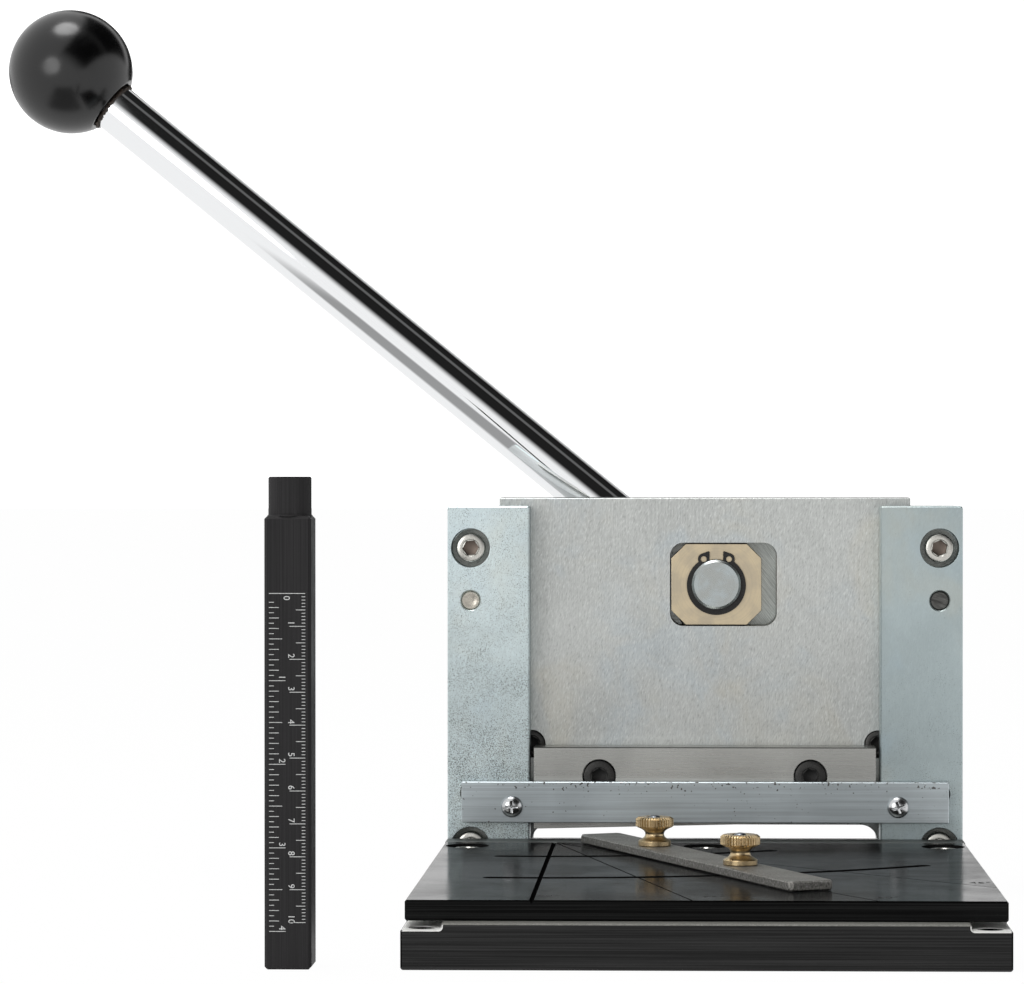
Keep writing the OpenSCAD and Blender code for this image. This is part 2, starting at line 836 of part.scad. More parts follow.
module guard_screws() {
    color([0.75, 0.75, 0.73])
    both_sides()
        translate([guard_screw_x, guard_front, guard_screw_z])
            rotate([90, 0, 0]) pan_screw();
}

module shaft_bush() {
    color([0.72, 0.58, 0.4])
    difference() {
        bar_y(crank_x, crank_z, disc_floor, back_rear, bush_d);
        bar_y(crank_x, crank_z, disc_floor - cut, back_rear + cut, journal_d + 2 * shaft_fit);
    }
}

// Outline of the ram's window, looking along Y
module window_outline() {
    low = pin_z - window_h / 2;
    translate([window_left, low])
    union() {
        translate([window_r, 0]) square([window_w - 2 * window_r, window_h]);
        translate([0, window_r]) square([window_w, window_h - 2 * window_r]);
        for (x = [window_r, window_w - window_r])
            for (z = [window_r, window_h - window_r])
                translate([x, z]) circle(r = window_r);
    }
}

module ram_plate() {
    blade_screw_end = ram_front + blade_grip;
    corner_floor = ram_front + corner_head_h;
    color([0.68, 0.7, 0.7])
    difference() {
        plate([-ram_w / 2, ram_front, ram_bottom], [ram_w / 2, ram_rear, ram_top], plate_chamfer);
        translate([0, ram_rear + cut, 0])
            rotate([90, 0, 0])
            linear_extrude(height = ram_t + 2 * cut) window_outline();
        both_sides() {
            bar_y(blade_screw_x, blade_screw_z, ram_front - cut, blade_screw_end, m6_d + fit);
            bar_y(corner_screw_x, corner_screw_z, ram_front - cut, corner_floor, corner_sink_d);
            bar_y(corner_screw_x, corner_screw_z, ram_front, corner_floor + corner_grip + fit, m6_d + fit);
        }
    }
}

module upper_blade() {
    half_w = upper_blade_w / 2;
    left = upper_blade_left;
    right = upper_blade_left + upper_blade_w * tan(blade_slant);
    sink = blade_head_recess + blade_head_h;
    color([0.72, 0.71, 0.69])
    difference() {
        translate([0, ram_front, 0])
            rotate([90, 0, 0])
            linear_extrude(height = ram_front - blade_front)
            polygon([
                [-half_w, left], [half_w, right],
                [half_w, upper_blade_top], [-half_w, upper_blade_top]
            ]);
        both_sides() {
            bar_y(blade_screw_x, blade_screw_z, blade_front - cut, blade_front + sink, blade_sink_d);
            bar_y(blade_screw_x, blade_screw_z, blade_front, ram_front + cut, m6_d + fit);
        }
    }
}

module blade_screws() {
    head = blade_front + blade_head_recess;
    grip = ram_front + blade_grip - fit - head - blade_head_h;
    color([0.08, 0.08, 0.08])
    both_sides()
        translate([blade_screw_x, head, blade_screw_z])
            rotate([90, 0, 0])
            socket_screw(blade_screw_d, blade_head_h, m6_d, grip, hex5);
}

module ram_corner_screws() {
    color([0.08, 0.08, 0.08])
    both_sides()
        translate([corner_screw_x, ram_front, corner_screw_z])
            rotate([90, 0, 0])
            socket_screw(corner_screw_d, corner_head_h, m6_d, corner_grip, hex5);
}

module slider_block() {
    color([0.76, 0.66, 0.5])
    difference() {
        translate([pin_x - block_w / 2, block_rear, pin_z - block_h / 2])
            rotate([90, 0, 0])
            linear_extrude(height = block_rear - block_front) cut_rect(block_w, block_h, block_corner);
        bar_y(pin_x, pin_z, block_front - cut, block_rear + cut, pin_d + 2 * pin_fit);
    }
}

// Space of the key along the top of the shaft and of the hub's bore
module key_space(gap) {
    middle = crank_z + hub_seat_d / 2;
    half_w = key_w / 2 - gap;
    start = hub_front + key_setback + gap;
    box([crank_x - half_w, start, middle - key_deep + gap],
        [crank_x + half_w, start + key_l - 2 * gap, middle + key_deep - gap]);
}

module crank_shaft() {
    color([0.7, 0.71, 0.71])
    difference() {
        union() {
            bar_y(pin_x, pin_z, pin_end + pin_chamfer, disc_front, pin_d);
            translate([pin_x, pin_end, pin_z])
                rotate([-90, 0, 0])
                cylinder(h = pin_chamfer, d1 = pin_d - 2 * pin_chamfer, d2 = pin_d);
            bar_y(crank_x, crank_z, disc_front, disc_rear, disc_d);
            bar_y(crank_x, crank_z, disc_rear, journal_rear, journal_d);
            bar_y(crank_x, crank_z, journal_rear, shaft_end, hub_seat_d);
        }
        difference() {
            bar_y(pin_x, pin_z, ring_front - ring_play, block_front, pin_d + cut);
            bar_y(pin_x, pin_z, ring_front - cut, block_front + cut, pin_d - 2 * ring_groove);
        }
        key_space(0);
        bar_y(crank_x, crank_z, shaft_end - hub_bolt_grip, shaft_end + cut, m6_d + fit);
    }
}

// Retaining ring with two lugs, opening upwards
module ring_outline() {
    inner_d = pin_d - 2 * ring_groove + 2 * ring_play;
    lug_x = ring_opening / 2 + lug_r;
    lug_z = sqrt(pow(ring_d / 2 - lug_out, 2) - pow(lug_x, 2));
    difference() {
        union() {
            translate([0, -ring_wide]) circle(d = ring_d);
            for (side = [-1, 1])
                hull() {
                    translate([side * lug_x, lug_z]) circle(r = lug_r);
                    translate([side * (ring_opening / 2 + lug_tip_r), lug_z + lug_rise]) circle(r = lug_tip_r);
                }
        }
        circle(d = inner_d);
        translate([-ring_opening / 2, 0]) square([ring_opening, ring_d]);
        for (side = [-1, 1])
            translate([side * lug_x, lug_z]) circle(r = lug_hole_r);
    }
}

module pin_circlip() {
    color([0.06, 0.06, 0.06])
    translate([pin_x, ring_front + ring_t, pin_z])
        rotate([90, 0, 0])
        linear_extrude(height = ring_t) ring_outline();
}

module thrust_washer() {
    color([0.72, 0.58, 0.4])
    difference() {
        bar_y(crank_x, crank_z, thrust_front, hub_front, bush_d);
        bar_y(crank_x, crank_z, thrust_front - cut, hub_front + cut, hub_seat_d + fit);
    }
}

// Turns its children so that +X runs along the handle and +Z is the upper side
module along_handle() {
    translate([crank_x, rod_y, crank_z])
        rotate([0, -lever_angle, 180])
        children();
}

module lever_hub() {
    arm_low = -lever_offset - hub_arm_w / 2;
    color([0.6, 0.62, 0.63])
    difference() {
        union() {
            bar_y(crank_x, crank_z, hub_front, hub_rear, hub_d);
            along_handle()
                plate([0, -hub_t / 2, arm_low], [hub_arm_l, hub_t / 2, arm_low + hub_arm_w], hub_chamfer);
        }
        bar_y(crank_x, crank_z, hub_front - cut, hub_rear + cut, hub_seat_d + fit);
        key_space(0);
        along_handle() {
            translate([hub_arm_l - rod_end_l - blind_extra, 0, -lever_offset])
                rotate([0, 90, 0])
                cylinder(h = rod_end_l + blind_extra + cut, d = rod_end_d + fit);
            translate([-hub_d, 0, 0]) rotate([0, 90, 0]) cylinder(h = hub_d, d = set_screw_d + fit);
        }
    }
}

module hub_key() {
    color([0.45, 0.45, 0.45]) key_space(fit / 2);
}

module hub_set_screw() {
    start = hub_seat_d / 2 + fit;
    color([0.08, 0.08, 0.08])
    along_handle()
        translate([-start - set_screw_l, 0, 0])
        rotate([0, 90, 0])
        difference() {
            cylinder(h = set_screw_l, d = set_screw_d);
            translate([0, 0, -cut])
                cylinder(h = cut + set_screw_l / 2, d = hex3 / cos(30), $fn = 6);
        }
}

module hub_washer() {
    color([0.7, 0.7, 0.7])
    difference() {
        bar_y(crank_x, crank_z, hub_rear, hub_rear + hub_washer_t, hub_washer_d);
        bar_y(crank_x, crank_z, hub_rear - cut, hub_rear + hub_washer_t + cut, m6_d + fit);
    }
}

module hub_bolt() {
    grip = hub_washer_t + hub_bolt_grip - cut;
    color([0.08, 0.08, 0.08])
    translate([crank_x, hub_rear + hub_washer_t + hub_bolt_head_h, crank_z])
        rotate([-90, 0, 0])
        socket_screw(hub_bolt_head_d, hub_bolt_head_h, m6_d, grip, hex5);
}

module handle_rod() {
    color([0.85, 0.86, 0.87])
    along_handle()
        translate([rod_from, 0, -lever_offset])
        rotate([0, 90, 0]) {
            rod_l = rod_to + collar_t - rod_from;
            translate([0, 0, -rod_end_l]) cylinder(h = rod_end_l, d = rod_end_d);
            cylinder(h = rod_chamfer, d1 = rod_d - 2 * rod_chamfer, d2 = rod_d);
            translate([0, 0, rod_chamfer]) cylinder(h = rod_l - rod_chamfer, d = rod_d);
            translate([0, 0, rod_l]) cylinder(h = rod_end_l, d = rod_end_d);
        }
}

module knob_collar() {
    color([0.16, 0.11, 0.08])
    along_handle()
        translate([rod_to, 0, -lever_offset])
        rotate([0, 90, 0])
        difference() {
            cylinder(h = collar_t, d = rod_d + 2 * collar_over);
            translate([0, 0, -cut]) cylinder(h = collar_t + 2 * cut, d = rod_d + fit);
        }
}

module ball_knob() {
    color([0.03, 0.03, 0.03])
    along_handle()
        translate([ball_reach, 0, -lever_offset])
        rotate([0, 90, 0])
        difference() {
            sphere(d = ball_d);
            translate([0, 0, -ball_d]) cylinder(h = ball_d - ball_flat_at, d = ball_d);
            translate([0, 0, -ball_flat_at - cut])
                cylinder(h = cut + rod_end_l + blind_extra, d = rod_end_d + fit);
        }
}

// Puts its children at the rear stud, with +X running along the fence to the front stud
module along_fence() {
    translate([rear_stud[0], rear_stud[1], 0]) rotate([0, 0, fence_angle]) children();
}

module fence_bar() {
    length = fence_rear_over + fence_pitch + fence_front_over;
    color([0.5, 0.5, 0.48])
    along_fence()
    difference() {
        intersection() {
            translate([-fence_rear_over, -fence_w / 2, fence_z])
                linear_extrude(height = fence_t) cut_rect(length, fence_w, fence_corner_r);
            plate([-fence_rear_over, -fence_w / 2, fence_z],
                [length - fence_rear_over, fence_w / 2, fence_top], fence_edge);
        }
        for (x = [0, fence_pitch])
            bar_z(x, 0, fence_z - cut, fence_top + cut, stud_d + stud_hole_fit);
    }
}

module fence_studs() {
    head_z = base_h + undercut_h - stud_head_play - stud_head_h;
    color([0.7, 0.7, 0.68])
    along_fence()
        for (x = [0, fence_pitch]) {
            bar_z(x, 0, head_z, head_z + stud_head_h, stud_head_d);
            bar_z(x, 0, head_z, stud_top, stud_d);
        }
}

// Outline of the knurled head: a ring of small teeth
module knurl_outline() {
    steps = 2 * nut_knurls;
    polygon([
        for (i = [0 : steps - 1])
            let (r = nut_head_d / 2 - (i % 2) * knurl_depth)
            [r * cos(i * full_turn / steps), r * sin(i * full_turn / steps)]
    ]);
}

// Half section of the head's chamfered envelope, which runs past the teeth
module head_section() {
    end_r = nut_head_d / 2 - nut_chamfer;
    wide_r = nut_head_d / 2 + knurl_depth;
    rise = wide_r - end_r;
    polygon([
        [0, 0], [end_r, 0], [wide_r, rise],
        [wide_r, nut_head_h - rise], [end_r, nut_head_h], [0, nut_head_h]
    ]);
}

// Knurled nut with a foot flange and a waist, its foot at the origin
module thumb_nut() {
    head_z = nut_h - nut_head_h;
    waist_top = head_z - (head_z - nut_foot_h) * nut_neck_share;
    difference() {
        union() {
            intersection() {
                translate([0, 0, head_z]) linear_extrude(height = nut_head_h) knurl_outline();
                translate([0, 0, head_z]) rotate_extrude() head_section();
            }
            cylinder(h = nut_foot_h, d = nut_foot_d);
            translate([0, 0, nut_foot_h]) cylinder(h = waist_top - nut_foot_h, d = nut_waist_d);
            translate([0, 0, waist_top])
                cylinder(h = head_z - waist_top, d1 = nut_waist_d, d2 = nut_foot_d - 2 * nut_chamfer);
        }
        translate([0, 0, -cut]) cylinder(h = nut_h + 2 * cut, d = stud_d + fit);
    }
}

module rear_thumb_nut() {
    color([0.8, 0.66, 0.35])
    along_fence() translate([0, 0, fence_top]) thumb_nut();
}

module front_thumb_nut() {
    color([0.8, 0.66, 0.35])
    along_fence() translate([fence_pitch, 0, fence_top]) thumb_nut();
}

// Square bar with a turned tang at its top, which has a flat in front
module gauge_bar() {
    top = gauge_body_h + tang_l;
    middle = base_front + gauge_t / 2;
    flat_y = middle - sqrt(pow(tang_d / 2, 2) - pow(tang_flat_w / 2, 2));
    color([0.08, 0.08, 0.09])
    union() {
        plate([-gauge_left - gauge_w / 2, base_front, 0],
            [-gauge_left + gauge_w / 2, base_front + gauge_t, gauge_body_h], gauge_chamfer);
        difference() {
            union() {
                bar_z(-gauge_left, middle, gauge_body_h - tang_l, top - tang_chamfer, tang_d);
                translate([-gauge_left, middle, top - tang_chamfer])
                    cylinder(h = tang_chamfer, d1 = tang_d, d2 = tang_d - 2 * tang_chamfer);
                translate([-gauge_left, middle, gauge_body_h])
                    cylinder(h = tang_root, d1 = tang_d + 2 * tang_root, d2 = tang_d);
            }
            box([-gauge_left - tang_d, flat_y - tang_d, gauge_body_h + tang_root],
                [-gauge_left + tang_d, flat_y, top + cut]);
        }
    }
}

base_plate();
work_table();
table_screws();
lower_blade();
lower_blade_screws();
back_plate();
left_spacer();
right_spacer();
left_guide_plate();
right_guide_plate();
guide_screws();
dowel_pins();
upright_screws();
guard_bar();
guard_screws();
shaft_bush();
ram_plate();
upper_blade();
blade_screws();
ram_corner_screws();
slider_block();
crank_shaft();
pin_circlip();
thrust_washer();
lever_hub();
hub_key();
hub_set_screw();
hub_washer();
hub_bolt();
handle_rod();
knob_collar();
ball_knob();
fence_bar();
fence_studs();
rear_thumb_nut();
front_thumb_nut();
gauge_bar();
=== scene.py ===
import json
import logging
import math
from collections.abc import Callable, Iterator, Sequence
from contextlib import contextmanager
from dataclasses import dataclass, field
from enum import Enum

import bmesh
import bpy
from mathutils import Matrix, Vector

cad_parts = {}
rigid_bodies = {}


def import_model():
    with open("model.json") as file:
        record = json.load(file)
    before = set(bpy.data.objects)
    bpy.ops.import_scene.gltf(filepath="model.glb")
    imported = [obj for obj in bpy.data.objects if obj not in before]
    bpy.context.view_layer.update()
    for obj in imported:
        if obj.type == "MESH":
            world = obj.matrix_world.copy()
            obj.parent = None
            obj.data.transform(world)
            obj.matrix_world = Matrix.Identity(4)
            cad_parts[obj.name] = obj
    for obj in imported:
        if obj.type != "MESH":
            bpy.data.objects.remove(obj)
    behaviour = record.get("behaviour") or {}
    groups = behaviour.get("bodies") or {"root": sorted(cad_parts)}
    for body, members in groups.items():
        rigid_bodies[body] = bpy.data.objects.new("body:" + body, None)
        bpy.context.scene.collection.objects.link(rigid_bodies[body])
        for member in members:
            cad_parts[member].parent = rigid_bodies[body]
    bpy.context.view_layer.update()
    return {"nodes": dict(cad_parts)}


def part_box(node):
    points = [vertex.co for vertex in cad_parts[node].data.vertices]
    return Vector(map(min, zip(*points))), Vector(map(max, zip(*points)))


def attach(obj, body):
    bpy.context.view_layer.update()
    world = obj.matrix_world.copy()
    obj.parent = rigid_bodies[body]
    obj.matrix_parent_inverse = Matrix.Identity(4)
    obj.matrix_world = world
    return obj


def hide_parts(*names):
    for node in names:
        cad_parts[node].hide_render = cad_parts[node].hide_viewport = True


# Guillotine shear: finishes, turned fasteners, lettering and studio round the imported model.
# Sizes are in metres and angles in degrees. X runs to the right, Y to the rear and Z up.
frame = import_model()

LOG = logging.getLogger("guillotine_shear")
Triple = tuple[float, float, float]
Colour = Triple
Pair = tuple[float, float]
Piece = bpy.types.Object
Face = bmesh.types.BMFace
Socket = bpy.types.NodeSocket
Zone = Callable[[Vector, Face], bool]

ORIGIN = (0.0, 0.0, 0.0)
ROD_LEAN = 39.236
MIDDLE = (0.3, 0.7)


class Facing(Enum):
    """Directions in which a turned piece's head looks."""

    FRONT = (0.0, -1.0, 0.0)
    UP = (0.0, 0.0, 1.0)


class Edge(Enum):
    """Widths to which the edges of the plates are broken."""

    SHARP = 0.0001
    FINE = 0.00022
    SOFT = 0.0004
    ROUND = 0.0006


def deselect_all() -> None:
    """Leave nothing selected."""
    bpy.ops.object.select_all(action="DESELECT")


def activate(piece: Piece) -> None:
    """Select one piece alone and make it the active one.

    Args:
        piece: The piece to work on.
    """
    deselect_all()
    piece.select_set(True)
    bpy.context.view_layer.objects.active = piece


def added(name: str, operator: Callable[..., object], **settings: object) -> Piece:
    """Add an object and name it.

    Args:
        name: The object's name.
        operator: The operator that adds it.
        settings: What the operator is told.

    Returns:
        The object.
    """
    deselect_all()
    operator(**settings)
    bpy.context.object.name = name
    return bpy.context.object


@contextmanager
def editing(piece: Piece, mode: str = "VERT", select: str = "SELECT") -> Iterator[bmesh.types.BMesh]:
    """Open a piece in edit mode.

    Args:
        piece: The piece to edit.
        mode: What is selected, VERT, EDGE or FACE.
        select: Whether all is selected at first, SELECT or DESELECT.

    Yields:
        The edit mesh.
    """
    activate(piece)
    bpy.ops.object.mode_set(mode="EDIT")
    bpy.ops.mesh.select_mode(type=mode)
    bpy.ops.mesh.select_all(action=select)
    yield bmesh.from_edit_mesh(piece.data)
    bpy.ops.object.mode_set(mode="OBJECT")


def settle(piece: Piece) -> None:
    """Write a piece's place, turn and size into its mesh."""
    activate(piece)
    bpy.ops.object.transform_apply(location=True, rotation=True, scale=True)


def place(piece: Piece, at: Vector, facing: Vector, spin: float = 0.0) -> None:
    """Turn a piece's own Z to a direction and set its origin on a point.

    Args:
        piece: A piece built about the origin.
        at: Where its origin goes.
        facing: Where its Z goes.
        spin: Degrees turned about its own Z first.
    """
    turn = Vector(Facing.UP.value).rotation_difference(facing).to_matrix().to_4x4()
    piece.matrix_world = Matrix.Translation(at) @ turn @ Matrix.Rotation(math.radians(spin), 4, "Z")
    settle(piece)


def apply_modifier(piece: Piece, kind: str, **settings: object) -> None:
    """Add one modifier and apply it.

    Args:
        piece: The piece.
        kind: The modifier's type.
        settings: Its settings by name.
    """
    activate(piece)
    modifier = piece.modifiers.new(kind.lower(), kind)
    for key, value in settings.items():
        setattr(modifier, key, value)
    bpy.ops.object.modifier_apply(modifier=modifier.name)


def carve(piece: Piece, cutter: Piece) -> None:
    """Cut one piece out of another and delete the cutter.

    Args:
        piece: The piece that is cut.
        cutter: The shape taken away.
    """
    settle(cutter)
    apply_modifier(piece, "BOOLEAN", operation="DIFFERENCE", solver="EXACT", object=cutter)
    bpy.data.objects.remove(cutter, do_unlink=True)


def break_edges(piece: Piece, width: float, segments: int = 2, over: float = 50.0) -> None:
    """Round the edges of a piece that are sharper than an angle, with some faces across the width."""
    apply_modifier(
        piece, "BEVEL", width=width, segments=segments, limit_method="ANGLE",
        angle_limit=math.radians(over), use_clamp_overlap=False, loop_slide=False,
    )


def smooth(piece: Piece, under: float = 28.0, flat_faces: bool = False) -> None:
    """Shade a piece smooth, but keep its sharp edges.

    Args:
        piece: The piece.
        under: Angle under which faces blend.
        flat_faces: Whether large faces stay flat beside their rounded edges.
    """
    activate(piece)
    bpy.ops.object.shade_smooth_by_angle(angle=math.radians(under))
    if flat_faces:
        apply_modifier(piece, "WEIGHTED_NORMAL", mode="FACE_AREA", weight=100, keep_sharp=True)


def turned(name: str, stations: Sequence[Pair], sides: int = 96) -> Piece:
    """Turn a solid about Z, as on a lathe, from its first station to its last.

    Args:
        name: The piece's name.
        stations: Pairs of height and radius along the turned outline.
        sides: Faces round the axis.

    Returns:
        The closed piece, built about the origin.
    """
    height, radius = stations[0]
    piece = added(name, bpy.ops.mesh.primitive_circle_add, vertices=sides, radius=radius, fill_type="NGON",
                  location=(0.0, 0.0, height))
    settle(piece)
    with editing(piece, "FACE"):
        for new_height, new_radius in stations[1:]:
            step = (0.0, 0.0, new_height - height)
            bpy.ops.mesh.extrude_region_move(TRANSFORM_OT_translate={"value": step})
            share = new_radius / radius
            bpy.ops.transform.resize(value=(share, share, 1.0), center_override=(0.0, 0.0, new_height))
            height, radius = new_height, new_radius
        bpy.ops.mesh.select_all(action="SELECT")
        bpy.ops.mesh.normals_make_consistent(inside=False)
    return piece


def dome(radius: float, rise: float, base: float, steps: int = 8, last: float = 82.0) -> list[Pair]:
    """Stations of a round head that rises over its rim, up to the last angle, where its flat top begins."""
    angles = [math.radians(last * step / steps) for step in range(steps + 1)]
    return [(base + rise * math.sin(angle), radius * math.cos(angle)) for angle in angles]


def bar(name: str, size: Triple, at: Triple) -> Piece:
    """A rectangular bar, as a start for cutters and marks.

    Args:
        name: The piece's name.
        size: Its three sides.
        at: Its centre.

    Returns:
        The bar.
    """
    piece = added(name, bpy.ops.mesh.primitive_cube_add, size=1.0, location=at)
    piece.scale = size
    settle(piece)
    return piece


def lettering(text: str, size: float, at: Vector, turn: Matrix, depth: float) -> Piece:
    """Raised characters as a mesh.

    Args:
        text: What to write.
        size: Height of the type.
        at: Centre of the writing on its face.
        turn: Turn from a flat page.
        depth: How far the characters reach into the face.

    Returns:
        The characters.
    """
    piece = added("lettering", bpy.ops.object.text_add)
    type_settings = {"body": text, "size": size, "align_x": "CENTER", "align_y": "CENTER",
                     "extrude": depth / 2.0, "resolution_u": 3}
    for key, value in type_settings.items():
        setattr(piece.data, key, value)
    activate(piece)
    bpy.ops.object.convert(target="MESH")
    piece = bpy.context.object
    piece.matrix_world = Matrix.Translation(at) @ turn @ Matrix.Translation((0.0, 0.0, -depth / 2.0))
    settle(piece)
    return piece


def joined(name: str, pieces: Sequence[Piece]) -> Piece:
    """Join pieces of one kind into one object.

    Args:
        name: The joined object's name.
        pieces: The pieces.

    Returns:
        The joined object.
    """
    activate(pieces[0])
    for piece in pieces[1:]:
        piece.select_set(True)
    bpy.ops.object.join()
    pieces[0].name = name
    return pieces[0]


def twin(piece: Piece) -> Piece:
    """Copy a piece together with its mesh.

    Args:
        piece: The piece to copy.

    Returns:
        The copy.
    """
    activate(piece)
    bpy.ops.object.duplicate(linked=False)
    return bpy.context.object


def repeated(name: str, model: Piece, places: Sequence[Vector], facing: Facing,
             spin: float = 17.0) -> Piece:
    """Set copies of one model on several places and join them.

    Args:
        name: Name of the whole group.
        model: The model, built about the origin.
        places: Where the copies go.
        facing: Where their heads look.
        spin: How far each copy is turned beyond the one before it.

    Returns:
        The group.
    """
    copies = [model] + [twin(model) for _ in places[1:]]
    for index, (copy, at) in enumerate(zip(copies, places)):
        place(copy, at, Vector(facing.value), spin * index)
    return joined(name, copies)


def solid_copy(node: str, name: str) -> Piece:
    """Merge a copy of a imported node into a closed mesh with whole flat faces.

    Args:
        node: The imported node.
        name: The copy's name.

    Returns:
        The copy, free of its body.
    """
    weld, flat = 1e-6, math.radians(0.4)
    piece = twin(frame["nodes"][node])
    bpy.ops.object.parent_clear(type="CLEAR_KEEP_TRANSFORM")
    piece.name = name
    for key in list(piece.keys()):
        del piece[key]
    if piece.data.has_custom_normals:
        bpy.ops.mesh.customdata_custom_splitnormals_clear()
    with editing(piece):
        bpy.ops.mesh.remove_doubles(threshold=weld)
        bpy.ops.mesh.dissolve_limited(angle_limit=flat)
    return piece


class Recipe:
    """A tree of shader nodes under construction."""

    def __init__(self, tree: bpy.types.NodeTree) -> None:
        """Take over the tree of a new material or world."""
        self.tree = tree

    def node(self, kind: str, inputs: dict[str | int, object], output: str | int, **settings: object) -> Socket:
        """Add a node, set its properties and feed its inputs.

        Args:
            kind: The node's type after ShaderNode.
            inputs: Sockets to link or constants, by the input's name or number.
            output: Name or number of the wanted output.
            settings: The node's properties by name.

        Returns:
            The wanted output.
        """
        node = self.tree.nodes.new(f"ShaderNode{kind}")
        for key, value in settings.items():
            setattr(node, key, value)
        for key, value in inputs.items():
            self.feed(node.inputs[key], value)
        return node.outputs[output]

    def feed(self, socket: Socket, value: object) -> None:
        """Link a socket into another, or set its constant."""
        if isinstance(value, Socket):
            self.tree.links.new(value, socket)
        else:
            socket.default_value = value

    def surface(self, **sockets: object) -> None:
        """Set the shader's own sockets, by names with _ for a space."""
        for key, value in sockets.items():
            self.feed(self.tree.nodes["Principled BSDF"].inputs[key.replace("_", " ")], value)

    def place(self, scale: Triple = (1.0, 1.0, 1.0), shift: Triple = ORIGIN, lean: float = 0.0) -> Socket:
        """Object coordinates, scaled, leaned about Y and then shifted."""
        inputs = {"Vector": self.node("TexCoord", {}, "Object"), "Scale": scale, "Location": shift}
        return self.node("Mapping", inputs | {"Rotation": (0.0, math.radians(lean), 0.0)}, "Vector")

    def grain(self, scale: Triple, lean: float = 0.0) -> Socket:
        """Object coordinates leaned about Y and then scaled, for strokes along one direction."""
        return self.node("Mapping", {"Vector": self.place(lean=lean), "Scale": scale}, "Vector")

    def noise(self, scale: float = 1.0, vector: Socket | None = None, detail: float = 2.0, rough: float = 0.55,
              warp: float = 0.0) -> Socket:
        """Cloudy noise from 0 to 1, in object coordinates where no others are given."""
        inputs = {"Vector": vector or self.place(), "Scale": scale, "Detail": detail}
        return self.node("TexNoise", inputs | {"Roughness": rough, "Distortion": warp}, "Fac")

    def cells(self, scale: float) -> Socket:
        """Distance to the nearest of scattered points."""
        return self.node("TexVoronoi", {"Vector": self.place(), "Scale": scale}, "Distance")

    def along(self, axis: str) -> Socket:
        """One of the three object coordinates."""
        return self.node("SeparateXYZ", {0: self.place()}, axis)

    def ray(self, kind: str) -> Socket:
        """Whether the ray that meets the surface is of one kind."""
        return self.node("LightPath", {}, f"Is {kind} Ray")

    def band(self, value: Socket, low: float, high: float, first: float = 0.0, last: float = 1.0) -> Socket:
        """Map a value's range from low to high onto first to last, held at both ends."""
        inputs = {"Value": value, "From Min": low, "From Max": high, "To Min": first, "To Max": last}
        return self.node("MapRange", inputs, "Result", interpolation_type="SMOOTHSTEP")

    def window(self, value: Socket, rise: Pair, fall: Pair) -> Socket:
        """One between two limits, each of them soft, and zero outside."""
        return self.sum("MULTIPLY", self.band(value, *rise), self.band(value, *fall))

    def sum(self, operation: str, one: object, other: object = 0.0) -> Socket:
        """One step of arithmetic."""
        return self.node("Math", {0: one, 1: other}, "Value", operation=operation)

    def less(self, value: Socket, share: float, full: float = 1.0) -> Socket:
        """A full amount less a share of a value."""
        return self.sum("SUBTRACT", full, self.sum("MULTIPLY", value, share))

    def mix(self, share: object, one: object, other: object, blend: str = "MIX") -> Socket:
        """Mix two colours, each a socket or three numbers."""
        one, other = (value if isinstance(value, Socket) else (*value, 1.0) for value in (one, other))
        return self.node("Mix", {0: share, 6: one, 7: other}, 2, data_type="RGBA", blend_type=blend)

    def over(self, colour: object, tint: Colour, value: Socket, limits: Pair, share: float) -> Socket:
        """Lay up to a share of a tint over a colour where a value goes past its limits."""
        return self.mix(self.band(value, *limits, 0.0, share), colour, tint)

    def relief(self, height: Socket, depth: float) -> Socket:
        """Bump from a height of 0 to 1 that stands for a depth in metres."""
        return self.node("Bump", {"Height": height, "Distance": depth, "Strength": 1.0}, "Normal")


def shade(colour: Colour, share: float) -> Colour:
    """A lighter or darker kind of one colour."""
    return tuple(part * share for part in colour)


@dataclass(frozen=True)
class Finish:
    """What every finish has in common."""

    name: str
    colour: Colour
    metallic: float = 1.0
    roughness: float = 0.4

    def material(self) -> bpy.types.Material:
        """Paint the material, unless that is done already.

        Returns:
            The material.
        """
        if self.name not in bpy.data.materials:
            bpy.data.materials.new(self.name).use_nodes = True
            recipe = Recipe(bpy.data.materials[self.name].node_tree)
            recipe.surface(Metallic=self.metallic)
            self.paint(recipe)
        return bpy.data.materials[self.name]

    def paint(self, recipe: Recipe) -> None:
        """Fill in colour, roughness and relief."""
        raise NotImplementedError

    def tones(self, recipe: Recipe, value: Socket, limits: Pair, dark: float, light: float) -> Socket:
        """The finish's colour, from a darker to a lighter share of it along a value."""
        return recipe.mix(recipe.band(value, *limits), shade(self.colour, dark), shade(self.colour, light))

    def rough(self, recipe: Recipe, value: Socket, below: float, above: float) -> Socket:
        """The finish's roughness, from somewhat below to somewhat above it along a value."""
        return recipe.band(value, *MIDDLE, self.roughness - below, self.roughness + above)

    def dress(self, piece: Piece) -> None:
        """Give a piece this finish all over."""
        piece.data.materials.clear()
        piece.data.materials.append(self.material())


